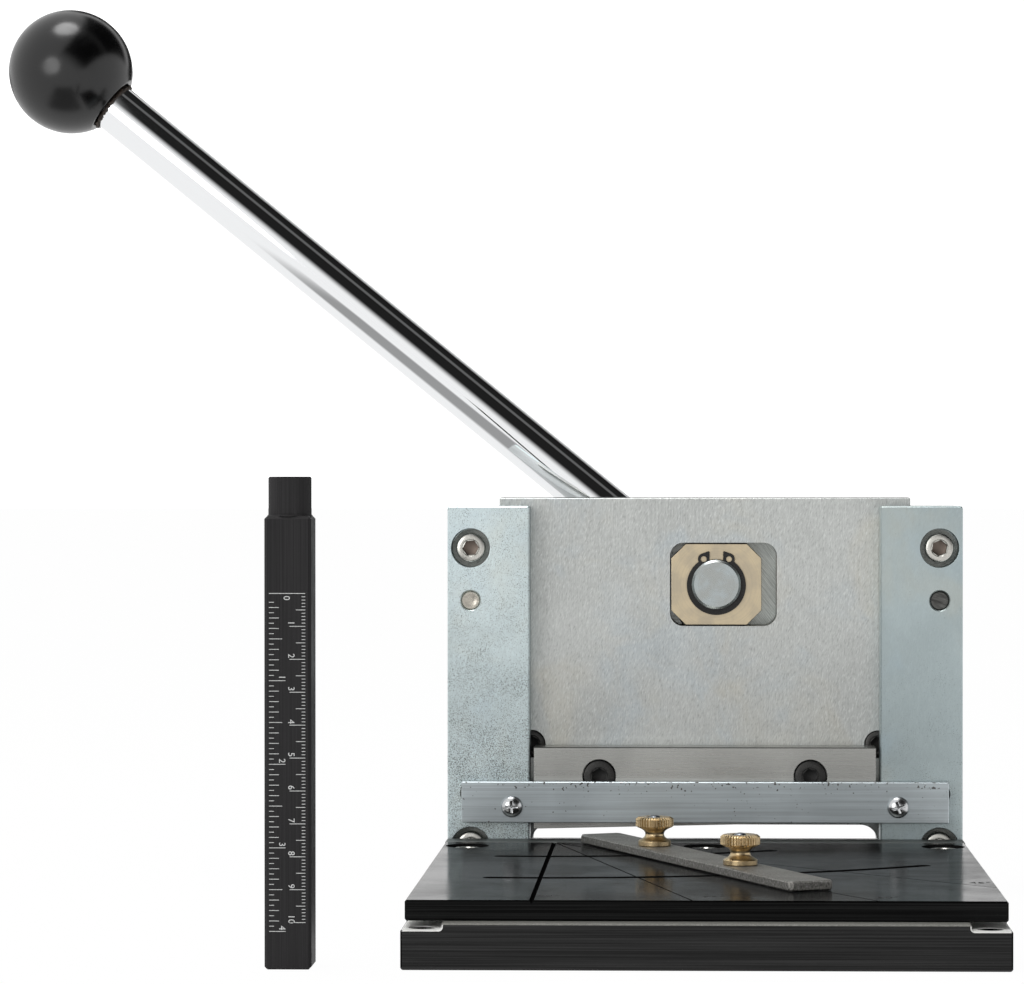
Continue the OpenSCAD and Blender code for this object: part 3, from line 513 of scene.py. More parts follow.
@dataclass(frozen=True)
class Grained(Finish):
    """A ground, drawn or brushed metal with lines along one direction."""

    grain: Triple = (2600.0, 2600.0, 60.0)
    lean: float = 0.0
    depth: float = 0.000004
    clouds: float = 26.0
    cloud_share: float = 0.07
    line_share: float = 0.05
    rough_spread: float = 0.07
    speck_colour: Colour = (0.055, 0.04, 0.03)
    speck_size: float = 1500.0
    speck_share: float = 0.0
    speck_low: float = 0.02
    speck_high: float = 0.13
    speck_fall: Pair = (0.06, -0.03)
    speck_limits: Pair = (0.83, 0.89)
    patches: float = 110.0
    patch_share: float = 0.22
    fleck: float = 0.0
    fleck_grain: Triple = (2300.0, 2300.0, 600.0)
    fleck_lean: float = -16.0
    tint: float = 0.0
    stains: tuple[tuple[Colour, float, Triple], ...] = (((0.42, 0.58, 0.72), 42.0, (0.3, 0.0, 0.1)),
                                                        ((0.72, 0.62, 0.42), 30.0, (0.7, 0.2, 0.5)))

    def paint(self, recipe: Recipe) -> None:
        """Lines, clouds, tints, flecks and specks of a worked metal face.

        Args:
            recipe: The material under construction.
        """
        lines = recipe.noise(vector=recipe.grain(self.grain, self.lean), detail=4.0, rough=0.65)
        cloud = recipe.noise(self.clouds, detail=4.0, warp=0.6)
        colour = self.tones(recipe, cloud, (0.35, 0.66), 1.0 - self.cloud_share, 1.0 + self.cloud_share)
        streak = recipe.band(lines, *MIDDLE, 1.0 - self.line_share, 1.0 + self.line_share)
        grey = recipe.node("CombineColor", dict.fromkeys(range(3), streak), "Color")
        colour = recipe.mix(1.0, colour, grey, "MULTIPLY")
        rough = self.rough(recipe, lines, self.rough_spread, self.rough_spread)
        if self.tint > 0.0:
            for tint, scale, shift in self.stains:
                stain = recipe.noise(scale, recipe.place(shift=shift), detail=3.0, warp=0.8)
                colour = recipe.over(colour, tint, stain, (0.5, 0.72), self.tint)
        if self.fleck > 0.0:
            strokes = recipe.noise(vector=recipe.grain(self.fleck_grain, self.fleck_lean), detail=3.0, rough=0.6)
            for share, limits in ((1.5, (0.5, 0.72)), (0.5, (0.46, 0.28))):
                colour = recipe.over(colour, shade(self.colour, share), strokes, limits, self.fleck)
        if self.speck_share > 0.0:
            spots = self.specks(recipe)
            colour = recipe.mix(recipe.sum("MULTIPLY", spots, 0.8), colour, self.speck_colour)
            rough = recipe.sum("ADD", rough, recipe.sum("MULTIPLY", spots, 0.2))
        recipe.surface(Base_Color=colour, Roughness=rough, Normal=recipe.relief(lines, self.depth))

    def specks(self, recipe: Recipe) -> Socket:
        """Dark specks in patches, most of them at the low end of the piece.

        Args:
            recipe: The material under construction.

        Returns:
            One in a speck and zero beside it.
        """
        grit = recipe.noise(self.speck_size, detail=1.0)
        patch = recipe.noise(self.patches, detail=3.0)
        falling = recipe.band(recipe.along("Z"), self.speck_low, self.speck_high, *self.speck_fall)
        level = recipe.sum("ADD", recipe.sum("MULTIPLY", patch, self.patch_share), falling)
        return recipe.band(recipe.sum("ADD", grit, level), *(limit - self.speck_share for limit in self.speck_limits))


@dataclass(frozen=True)
class Anodised(Finish):
    """A black plate with fine machining lines under the black, and a little dust."""

    grain: Triple = (10.0, 2400.0, 2400.0)
    depth: float = 0.000006
    contrast: Pair = (0.35, 2.2)
    specular: float = 0.2
    handled: float = 34.0
    dust_cells: float = 420.0
    dust: Colour = (0.10, 0.10, 0.095)

    def paint(self, recipe: Recipe) -> None:
        """Lines, handled patches and dust of a black plate.

        Args:
            recipe: The material under construction.
        """
        lines = recipe.noise(vector=recipe.place(self.grain), detail=4.0, rough=0.7)
        colour = self.tones(recipe, lines, (0.35, 0.7), *self.contrast)
        colour = recipe.over(colour, self.dust, recipe.cells(self.dust_cells), (0.05, 0.02), 0.35)
        wear = recipe.noise(self.handled, detail=5.0, warp=0.4)
        rough = recipe.sum("ADD", self.rough(recipe, wear, 0.05, 0.06), recipe.band(lines, *MIDDLE, -0.03, 0.03))
        recipe.surface(Base_Color=colour, Roughness=rough, Normal=recipe.relief(lines, self.depth),
                       Specular_IOR_Level=self.specular)


@dataclass(frozen=True)
class Faced(Finish):
    """A face turned on a lathe, with rings about an axis along Y."""

    centre: Triple = ORIGIN
    rings: float = 2600.0
    clouds: float = 160.0
    depth: float = 0.000007
    tint: Colour = (0.9, 0.95, 1.0)

    def paint(self, recipe: Recipe) -> None:
        """Rings, tarnish and a little unevenness.

        Args:
            recipe: The material under construction.
        """
        flat = recipe.place(scale=(1.0, 0.0, 1.0), shift=(-self.centre[0], 0.0, -self.centre[2]))
        away = recipe.node("VectorMath", {0: flat}, "Value", operation="LENGTH")
        rings = recipe.noise(self.rings, recipe.node("CombineXYZ", {0: away}, 0), detail=3.0, rough=0.7)
        cloud = recipe.noise(self.clouds, detail=3.0)
        bright = tuple(part * tone * 1.08 for part, tone in zip(self.colour, self.tint))
        colour = recipe.mix(recipe.band(cloud, 0.35, 0.65), shade(self.colour, 0.88), bright)
        colour = recipe.over(colour, shade(self.colour, 0.6), rings, (0.6, 0.3), 0.35)
        recipe.surface(Base_Color=colour, Roughness=self.rough(recipe, rings, 0.06, 0.08),
                       Normal=recipe.relief(rings, self.depth))


@dataclass(frozen=True)
class Polished(Finish):
    """A bright plated or moulded surface with faint smears and dust."""

    smear: float = 0.03
    smears: float = 70.0
    dust: float = 0.04
    dust_cells: float = 700.0
    dust_grey: Colour = (0.35, 0.34, 0.32)
    ripples: float = 45.0
    depth: float = 0.000012
    index: float = 1.5

    def paint(self, recipe: Recipe) -> None:
        """Smears in the gloss and grains of dust.

        Args:
            recipe: The material under construction.
        """
        smear = recipe.noise(self.smears, detail=5.0, warp=1.2)
        colour = recipe.over(self.colour, self.dust_grey, recipe.cells(self.dust_cells), (0.06, 0.02), self.dust)
        rough = recipe.band(smear, 0.4, 0.75, self.roughness, self.roughness + self.smear)
        ripple = recipe.noise(self.ripples, detail=1.0)
        recipe.surface(Base_Color=colour, Roughness=rough, Normal=recipe.relief(ripple, self.depth), IOR=self.index)


@dataclass(frozen=True)
class Gritty(Finish):
    """A blasted, cast or oxidised surface with an even grit."""

    grit: float = 2600.0
    depth: float = 0.00002
    contrast: float = 0.35
    clouds: float = 90.0
    glint: float = 0.0
    glints: float = 1500.0
    glint_white: Colour = (0.75, 0.76, 0.78)

    def paint(self, recipe: Recipe) -> None:
        """Grit, clouds and bright points.

        Args:
            recipe: The material under construction.
        """
        grit = recipe.noise(self.grit, detail=3.0, rough=0.6)
        cloud = recipe.noise(self.clouds, detail=4.0)
        colour = self.tones(recipe, grit, MIDDLE, 1.0 - self.contrast, 1.0 + self.contrast)
        colour = recipe.over(colour, shade(self.colour, 0.75), cloud, (0.35, 0.7), 0.35)
        # Painted glints: white points laid into the colour.
        if self.glint > 0.0:
            points = recipe.noise(self.glints, detail=0.0)
            colour = recipe.over(colour, self.glint_white, points, (0.74, 0.80), self.glint)
        recipe.surface(Base_Color=colour, Roughness=self.rough(recipe, cloud, 0.06, 0.06),
                       Normal=recipe.relief(grit, self.depth))


PIN_CENTRE = (0.004207, 0.0, 0.111329)
CRANK_AXIS = (0.0129, 0.0, 0.109)
BRONZE_TINT = (1.0, 0.98, 0.92)
EVEN_GRAIN = (800.0, 800.0, 800.0)

RAM_ZINC = Grained("ram_zinc", (0.53, 0.545, 0.53), grain=(1900.0, 1900.0, 90.0), line_share=0.1, fleck=0.5,
    tint=0.16, cloud_share=0.05)
LEFT_ZINC = Grained("left_guide_zinc", (0.615, 0.70, 0.71), roughness=0.42, grain=(900.0, 900.0, 500.0),
    depth=0.00001, speck_share=0.12, speck_size=3200.0, fleck=0.22, speck_colour=(0.075, 0.08, 0.075), tint=0.12)
RIGHT_ZINC = Grained("right_guide_zinc", (0.43, 0.5, 0.51), roughness=0.38, grain=(900.0, 900.0, 300.0),
    speck_share=0.03, speck_size=3000.0, speck_colour=(0.09, 0.095, 0.09), fleck=0.12, tint=0.12)
REAR_ZINC = Grained("rear_zinc", (0.5, 0.52, 0.52), grain=(60.0, 1500.0, 1500.0), speck_share=0.03, speck_low=0.0,
    speck_high=0.14)
GUARD_ALUMINIUM = Grained("guard_aluminium", (0.5, 0.55, 0.57), roughness=0.38, grain=(14.0, 1300.0, 1300.0),
    line_share=0.13, speck_share=0.035, speck_low=0.0413, speck_high=0.036, speck_size=900.0)
BLADE_STEEL = Grained("upper_blade_steel", (0.42, 0.42, 0.40), roughness=0.3, grain=(34.0, 2100.0, 2100.0),
    line_share=0.12, depth=0.000006)
LOWER_STEEL = Grained("lower_blade_steel", (0.16, 0.17, 0.165), roughness=0.5, grain=(26.0, 2600.0, 2600.0))
BASE_BLACK = Anodised("base_black", (0.011, 0.011, 0.011), metallic=0.0, roughness=0.34, contrast=(0.2, 2.9))
TABLE_BLACK = Anodised("table_black", (0.0115, 0.0117, 0.0117), metallic=0.0, roughness=0.15, specular=0.006,
    contrast=(0.5, 1.8))
GAUGE_BLACK = Anodised("gauge_black", (0.034, 0.033, 0.034), metallic=0.0, roughness=0.45, specular=0.06,
    grain=(2600.0, 2600.0, 12.0), contrast=(0.85, 1.2))
# Flat black with no sheen: the lines of the table's grooves, and painted shade on the walls of the base's corner
# holes.
GROOVE_BLACK_AND_HOLE_SHADE = Anodised("groove_black", (0.003, 0.003, 0.003), metallic=0.0, roughness=0.7, specular=0.0)
# Painted highlight: near white on the base's corner ledges, standing in for their bright grazing reflection.
LEDGE_PAINTED_HIGHLIGHT = Grained("bare_ledge", (0.93, 0.93, 0.9), metallic=0.0, roughness=0.5, line_share=0.03,
    grain=(30.0, 1800.0, 1800.0), cloud_share=0.02)
# Painted highlight: a grey strip along the black base's top edge in front of the table, standing in for a grazing
# reflection.
STEP_PAINTED_HIGHLIGHT = Gritty("worn_step", (0.2, 0.2, 0.18), metallic=0.0, roughness=0.6, contrast=0.4)
BORE_SHADE = Gritty("bore_shade", (0.34, 0.35, 0.33), metallic=0.6, roughness=0.5, contrast=0.3)
# Painted shade: the dark line along the top edges of the ram and the upper blade.
SEAM_PAINTED_SHADE = Gritty("seam_dark", (0.035, 0.035, 0.033), metallic=0.5, roughness=0.6, contrast=0.4)
# Painted shade: dark brown on the walls and floor of the stainless screws' hex sockets.
SOCKET_PAINTED_SHADE = Grained("socket_brown", (0.16, 0.13, 0.11), roughness=0.42, grain=EVEN_GRAIN)
# Painted shade: near black in the sockets of the black screws and the guard screws' cross recesses.
RECESS_PAINTED_SHADE = Grained("recess_black", (0.012, 0.011, 0.01), metallic=0.2, roughness=0.5, grain=EVEN_GRAIN)
BRONZE = Faced("bearing_bronze", (0.595, 0.51, 0.375), roughness=0.34, centre=PIN_CENTRE, rings=1500.0,
    tint=BRONZE_TINT)
BUSH_BRONZE = Faced("bush_bronze", (0.5, 0.4, 0.27), roughness=0.36, centre=CRANK_AXIS, tint=BRONZE_TINT)
PIN_STEEL = Faced("crank_steel", (0.455, 0.475, 0.46), roughness=0.27, centre=PIN_CENTRE, rings=1000.0,
    depth=0.00003)
DISC_STEEL = Grained("disc_steel", (0.43, 0.45, 0.43), roughness=0.36, grain=(4500.0, 4500.0, 140.0), lean=38.0,
    line_share=0.4, depth=0.00001)
HUB_STEEL = Grained("hub_steel", (0.5, 0.52, 0.51), roughness=0.38, grain=(1500.0, 120.0, 1500.0))
CHROME = Polished("chrome_plate", (0.86, 0.87, 0.88), roughness=0.045)
KNOB_BLACK = Polished("knob_black", (0.0015, 0.0015, 0.0017), metallic=0.0, roughness=0.19, smear=0.1, dust=0.12,
    index=1.55)
STAINLESS = Gritty("stainless_head", (0.58, 0.57, 0.53), roughness=0.27, grit=1800.0, depth=0.000006, contrast=0.1)
BRIGHT_PAN = Gritty("bright_pan_screw", (0.6, 0.61, 0.62), roughness=0.2, grit=1500.0, depth=0.000004,
    contrast=0.08)
DOWEL_STEEL = Gritty("dowel_steel", (0.5, 0.47, 0.41), roughness=0.3, grit=1600.0, depth=0.000008, contrast=0.14)
DULL_DOWEL = Grained("dull_dowel", (0.1, 0.1, 0.095), grain=(2600.0, 2600.0, 200.0), lean=70.0, line_share=0.5)
BLACK_SCREW = Gritty("black_oxide", (0.045, 0.044, 0.042), metallic=0.6, roughness=0.38, depth=0.000008)
SPRING_BLACK = Gritty("spring_black", (0.02, 0.019, 0.018), metallic=0.3, roughness=0.5, depth=0.00001)
FENCE_STEEL = Gritty("blasted_fence", (0.215, 0.21, 0.195), metallic=0.7, roughness=0.48, glint=0.25, contrast=0.5,
    grit=1500.0)
BRASS = Gritty("knurled_brass", (0.56, 0.43, 0.25), roughness=0.3, grit=2200.0, contrast=0.2)
STUD_STEEL = Gritty("dark_stud", (0.24, 0.26, 0.29), roughness=0.28, depth=0.000008)
SEAL_BROWN = Gritty("seal_brown", (0.035, 0.022, 0.014), metallic=0.0, roughness=0.6, grit=900.0, contrast=0.6)
WHITE_INK = Gritty("white_ink", (0.72, 0.73, 0.72), metallic=0.0, roughness=0.5, grit=1800.0, contrast=0.12,
    depth=0.000004)
DARK_INK = Gritty("dark_engraving", (0.006, 0.006, 0.006), metallic=0.0, roughness=0.65, contrast=0.3)


def repaint(piece: Piece, finish: Finish, zone: Zone) -> None:
    """Give some faces of a dressed piece a finish of their own.

    Args:
        piece: The piece.
        finish: The finish of those faces.
        zone: Tells from a face's centre and the face whether it is one of them.
    """
    piece.data.materials.append(finish.material())
    last = len(piece.data.materials) - 1
    with editing(piece, "FACE") as mesh:
        for face in mesh.faces:
            if zone(face.calc_center_median(), face):
                face.material_index = last


def fit(piece: Piece, finish: Finish | None, slot: str, *nodes: str) -> None:
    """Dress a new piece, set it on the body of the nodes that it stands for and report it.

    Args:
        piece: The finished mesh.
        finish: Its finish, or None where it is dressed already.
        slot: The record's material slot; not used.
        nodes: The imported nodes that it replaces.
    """
    if finish is not None:
        finish.dress(piece)
    body = frame["nodes"][nodes[0]].parent.name.split(":")[1]
    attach(piece, body)
    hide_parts(*nodes)
    LOG.info("%s: %d faces on body %s", piece.name, len(piece.data.polygons), body)


def corner_places(node: str, radius: float, facing: Facing) -> list[Vector]:
    """Centres of the heads at the corners of a node's box.

    Args:
        node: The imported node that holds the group.
        radius: Radius of each head.
        facing: Where the heads look.

    Returns:
        The centres on the face of the heads, each once.
    """
    low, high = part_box(node)
    across = (low.x + radius, high.x - radius)
    if facing is Facing.UP:
        across = (across[0], (low.x + high.x) / 2.0, across[1])
        return [Vector((x, (low.y + high.y) / 2.0, high.z)) for x in across]
    heights = (low.z + radius, high.z - radius)
    if heights[1] - heights[0] < radius:
        heights = heights[:1]
    return [Vector((x, low.y, z)) for z in heights for x in across]


@dataclass
class Plates:
    """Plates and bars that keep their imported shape, with broken edges."""

    cuts: tuple[str, ...] = ("base_plate", "ram_plate", "upper_blade")
    blend: float = 35.0
    seam: float = 0.0003
    seam_facing: float = -0.2
    ledge_depths: Pair = (0.0003, 0.003)
    ledge_upright: float = -0.5
    groove_depths: Pair = (0.00004, 0.001)
    hole_top: float = 0.0022
    hole_bottom: float = 0.0005
    hole_areas: Pair = (0.000001, 0.00002)
    upright: float = 0.3
    border: float = 0.001
    bore_reach: float = 0.0068
    bore_lip: float = 0.0004
    plans: dict[str, tuple[Finish, str, Edge]] = field(default_factory=lambda: {
        "base_plate": (BASE_BLACK, "black_base", Edge.SOFT),
        "work_table": (TABLE_BLACK, "black_table", Edge.FINE),
        "lower_blade": (LOWER_STEEL, "ground_steel", Edge.SHARP),
        "left_guide_plate": (LEFT_ZINC, "zinc_guide", Edge.FINE),
        "right_guide_plate": (RIGHT_ZINC, "zinc_guide", Edge.FINE),
        "left_spacer": (REAR_ZINC, "zinc_plate", Edge.FINE),
        "right_spacer": (REAR_ZINC, "zinc_plate", Edge.FINE),
        "back_plate": (REAR_ZINC, "zinc_plate", Edge.FINE),
        "guard_bar": (GUARD_ALUMINIUM, "guard_metal", Edge.FINE),
        "ram_plate": (RAM_ZINC, "zinc_ram", Edge.SHARP),
        "upper_blade": (BLADE_STEEL, "blade_steel", Edge.SHARP),
        "slider_block": (BRONZE, "bronze", Edge.FINE),
        "fence_bar": (FENCE_STEEL, "blasted_steel", Edge.ROUND),
        "gauge_bar": (GAUGE_BLACK, "black_gauge", Edge.SHARP),
        "lever_hub": (HUB_STEEL, "zinc_plate", Edge.SOFT),
        "shaft_bush": (BUSH_BRONZE, "bronze", Edge.SHARP),
        "thrust_washer": (BUSH_BRONZE, "bronze", Edge.SHARP),
        "hub_washer": (STAINLESS, "stainless_screw", Edge.FINE),
        "hub_bolt": (BLACK_SCREW, "black_screw", Edge.FINE),
    })

    def build(self) -> None:
        """Copy, soften and dress every plate, and then paint its zones."""
        for node, (finish, slot, edge) in self.plans.items():
            piece = solid_copy(node, f"{node}_finished")
            break_edges(piece, edge.value, segments=4 if edge is Edge.ROUND else 2)
            if node in self.cuts:
                self.cut(piece, node)
            smooth(piece, self.blend, flat_faces=True)
            fit(piece, finish, slot, node)
        # Painted highlight on the corner ledges of the base.
        self.paint_layer("base_plate", LEDGE_PAINTED_HIGHLIGHT, self.ledge_depths, self.ledge_upright)
        # Painted shade along the top edges of the ram and the upper blade.
        for node in self.cuts[1:]:
            self.paint_seam(node)
        self.paint_base()
        for side in ("left", "right"):
            self.paint_bores(f"{side}_guide_plate")
        self.paint_layer("work_table", GROOVE_BLACK_AND_HOLE_SHADE, self.groove_depths)

    def cut(self, piece: Piece, node: str) -> None:
        """Part a plate's faces at its seam: the base at the table's front, the others just under their top.

        Args:
            piece: The plate, before it is smoothed.
            node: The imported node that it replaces.
        """
        at, across = (0.0, 0.0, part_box(node)[1].z - self.seam), Facing.UP.value
        if node == "base_plate":
            at, across = (0.0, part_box("work_table")[0].y, 0.0), (0.0, 1.0, 0.0)
        with editing(piece, "FACE"):
            bpy.ops.mesh.bisect(plane_co=at, plane_no=across)

    def paint_seam(self, node: str) -> None:
        """Paint shade along a plate's top edge, a dark line that stands in for the shadow in the gap over its broken
        edge.
        """
        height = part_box(node)[1].z - self.seam
        repaint(bpy.data.objects[f"{node}_finished"], SEAM_PAINTED_SHADE,
                lambda centre, face: centre.z > height and face.normal.y < self.seam_facing)

    def paint_base(self) -> None:
        """Paint a highlight on the strip of the base that shows before the table, and paint shade in its corner
        holes.
        """
        base = bpy.data.objects["base_plate_finished"]
        high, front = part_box("base_plate")[1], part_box("work_table")[0].y
        # Painted highlight on the strip before the table.
        repaint(base, STEP_PAINTED_HIGHLIGHT, lambda centre, face: face.normal.z > self.upright
                and centre.y < front and high.z - centre.z < self.seam)
        # Painted shade on the walls of the corner holes.
        repaint(base, GROOVE_BLACK_AND_HOLE_SHADE, lambda centre, face: abs(face.normal.z) < self.upright
                and self.hole_top < high.z - centre.z < high.z - self.hole_bottom
                and self.hole_areas[0] < face.calc_area() < self.hole_areas[1] and centre.y < high.y - self.border)

    def paint_bores(self, node: str) -> None:
        """Darken a guide plate's counterbores, behind its front and near a guide screw.

        Args:
            node: The guide plate.
        """
        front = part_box(node)[0].y + self.bore_lip
        places = corner_places(GUIDE_SCREWS.node, GUIDE_SCREWS.head_radius, Facing.FRONT)
        repaint(bpy.data.objects[f"{node}_finished"], BORE_SHADE, lambda centre, face: centre.y > front
                and min((centre.xz - spot.xz).length for spot in places) < self.bore_reach)

    def paint_layer(self, node: str, finish: Finish, depths: Pair, upright: float = -1.0) -> None:
        """Give the faces in a layer under a plate's top another finish.

        Args:
            node: The plate.
            finish: The finish of the layer.
            depths: Least and greatest depth under the top.
            upright: How far up a face has to look.
        """
        piece, top = bpy.data.objects[f"{node}_finished"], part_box(node)[1].z
        reach = max(abs(corner[0]) for corner in piece.bound_box) - self.border
        repaint(piece, finish, lambda centre, face: depths[0] < top - centre.z < depths[1]
                and face.normal.z > upright and abs(centre.x) < reach)


@dataclass
class HiddenParts:
    """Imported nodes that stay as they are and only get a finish."""

    plans: dict[str, Finish] = field(default_factory=lambda: {
        "hub_key": PIN_STEEL,
        "pin_circlip": SPRING_BLACK,
        "hub_set_screw": BLACK_SCREW,
        "lower_blade_screws": BLACK_SCREW,
        "upright_screws": BLACK_SCREW,
    })

    def build(self) -> None:
        """Give each node its finish in its own material slots."""
        for node, finish in self.plans.items():
            for slot in frame["nodes"][node].material_slots:
                slot.material = finish.material()
            LOG.info("%s: finish %s", node, finish.name)


@dataclass
class SocketScrews:
    """A group of equal cylinder head screws with a six sided socket."""

    node: str
    slot: str
    finish: Finish
    inside: Finish
    head_radius: float
    head_height: float
    facing: Facing = Facing.FRONT
    shank_radius: float = 0.003
    hexagon: float = 0.005
    hexagon_depth: float = 0.003
    rim: float = 0.0005
    chamfer: float = 0.0006
    foot_edge: float = 0.0002
    mouth_edge: float = 0.0003
    shade_top: float = -0.0004
    edge: float = 0.00008
    blend: float = 40.0

    def model(self) -> Piece:
        """One screw with its face at height zero and its shank below.

        Returns:
            The screw.
        """
        low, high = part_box(self.node)
        reach = high.z - low.z if self.facing is Facing.UP else high.y - low.y
        mouth = self.hexagon / 2.0 / math.cos(math.radians(30.0))
        floor = -self.hexagon_depth * 1.4
        screw = turned(self.node, [
            (-reach, self.shank_radius * 0.8),
            (-reach + self.chamfer, self.shank_radius),
            (-self.head_height, self.shank_radius),
            (-self.head_height, self.head_radius - self.foot_edge),
            (-self.head_height + self.foot_edge, self.head_radius),
            (-self.rim, self.head_radius),
            (-self.rim * 0.35, self.head_radius - self.rim * 0.35),
            (0.0, self.head_radius - self.rim),
            (0.0, mouth + self.mouth_edge),
            (-self.mouth_edge, mouth),
        ])
        carve(screw, added("socket_cutter", bpy.ops.mesh.primitive_cylinder_add, vertices=6, radius=mouth,
                           depth=2.0 * self.hexagon_depth, location=(0.0, 0.0, -self.mouth_edge)))
        break_edges(screw, self.edge)
        smooth(screw, self.blend)
        self.finish.dress(screw)
        # Painted shade on the socket's walls and floor, below its mouth.
        repaint(screw, self.inside,
                lambda centre, face: floor < centre.z < self.shade_top and centre.xy.length < mouth)
        return screw

    def build(self) -> None:
        """Set the screws on the places that the node's box gives."""
        places = corner_places(self.node, self.head_radius, self.facing)
        fit(repeated(f"{self.node}_turned", self.model(), places, self.facing), None, self.slot, self.node)


GUIDE_SCREWS = SocketScrews("guide_screws", "stainless_screw", STAINLESS, SOCKET_PAINTED_SHADE, head_radius=0.0051,
                            head_height=0.006)
TABLE_SCREWS = SocketScrews("table_screws", "stainless_screw", STAINLESS, SOCKET_PAINTED_SHADE, head_radius=0.005,
                            head_height=0.0032, facing=Facing.UP, shank_radius=0.0025, hexagon=0.004,
                            hexagon_depth=0.002)
BLADE_SCREWS = SocketScrews("blade_screws", "black_screw", BLACK_SCREW, RECESS_PAINTED_SHADE, head_radius=0.00575,
                            head_height=0.0045)
RAM_SCREWS = SocketScrews("ram_corner_screws", "black_screw", BLACK_SCREW, RECESS_PAINTED_SHADE, head_radius=0.00485,
                          head_height=0.005)


@dataclass
class PanScrews:
    """The guard bar's two domed screws with a cross recess."""

    node: str = "guard_screws"
    radius: float = 0.00385
    rise: float = 0.0022
    skirt: float = 0.00034
    skirt_edge: float = 0.0001
    shank_radius: float = 0.002
    chamfer: float = 0.0005
    cross_length: float = 0.0044
    cross_width: float = 0.00085
    cross_depth: float = 0.0014
    cone_tip: float = 0.0002
    shade_top: float = -0.0006
    shade_upright: float = 0.5
    edge: float = 0.00007
    blend: float = 40.0

    def model(self) -> Piece:
        """One screw with the top of its dome at height zero.

        Returns:
            The screw.
        """
        low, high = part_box(self.node)
        foot, seat = low.y - high.y, -(self.rise + self.skirt)
        reach, floor = self.cross_length * 0.56, -self.cross_depth * 1.4
        screw = turned(self.node, [
            (foot, self.shank_radius * 0.8),
            (foot + self.chamfer, self.shank_radius),
            (seat, self.shank_radius),
            (seat, self.radius - self.skirt_edge),
            *dome(self.radius, self.rise, seat + self.skirt),
        ])
        for sides in ((self.cross_length, self.cross_width), (self.cross_width, self.cross_length)):
            carve(screw, bar("cross_cutter", (*sides, 2.0 * self.cross_depth), ORIGIN))
        carve(screw, added("cone_cutter", bpy.ops.mesh.primitive_cone_add, vertices=16, radius1=self.cone_tip,
                           radius2=self.cross_width * 1.25, depth=2.4 * self.cross_depth,
                           location=(0.0, 0.0, -self.cone_tip)))
        break_edges(screw, self.edge)
        smooth(screw, self.blend)
        BRIGHT_PAN.dress(screw)
        # Painted shade in the cross recess.
        repaint(screw, RECESS_PAINTED_SHADE, lambda centre, face: floor < centre.z < self.shade_top
                and centre.xy.length < reach and face.normal.z < self.shade_upright)
        return screw

    def build(self) -> None:
        """Set both screws in the guard bar."""
        places = corner_places(self.node, self.radius, Facing.FRONT)
        fit(repeated("guard_screws_turned", self.model(), places, Facing.FRONT), None, "stainless_screw", self.node)


@dataclass
class Dowels:
    """Ground dowels with a chamfered, faced end, the right ones duller."""

    node: str = "dowel_pins"
    radius: float = 0.00335
    chamfer: float = 0.0004
    dimple: float = 0.00008

    def build(self) -> None:
        """Turn the pins and set them in the guide plates."""
        low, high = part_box(self.node)
        reach = high.y - low.y
        model = turned(self.node, [
            (-reach, self.radius - self.chamfer),
            (-reach + self.chamfer, self.radius),
            (-self.chamfer, self.radius),
            (0.0, self.radius - self.chamfer),
            (0.0, self.radius * 0.62),
            (-self.dimple, self.radius * 0.55),
        ])
        smooth(model)
        places = corner_places(self.node, self.radius, Facing.FRONT)
        group = repeated("dowel_pins_turned", model, places, Facing.FRONT)
        DOWEL_STEEL.dress(group)
        repaint(group, DULL_DOWEL, lambda centre, face: centre.x > 0.0)
        fit(group, None, "pin_steel", self.node)


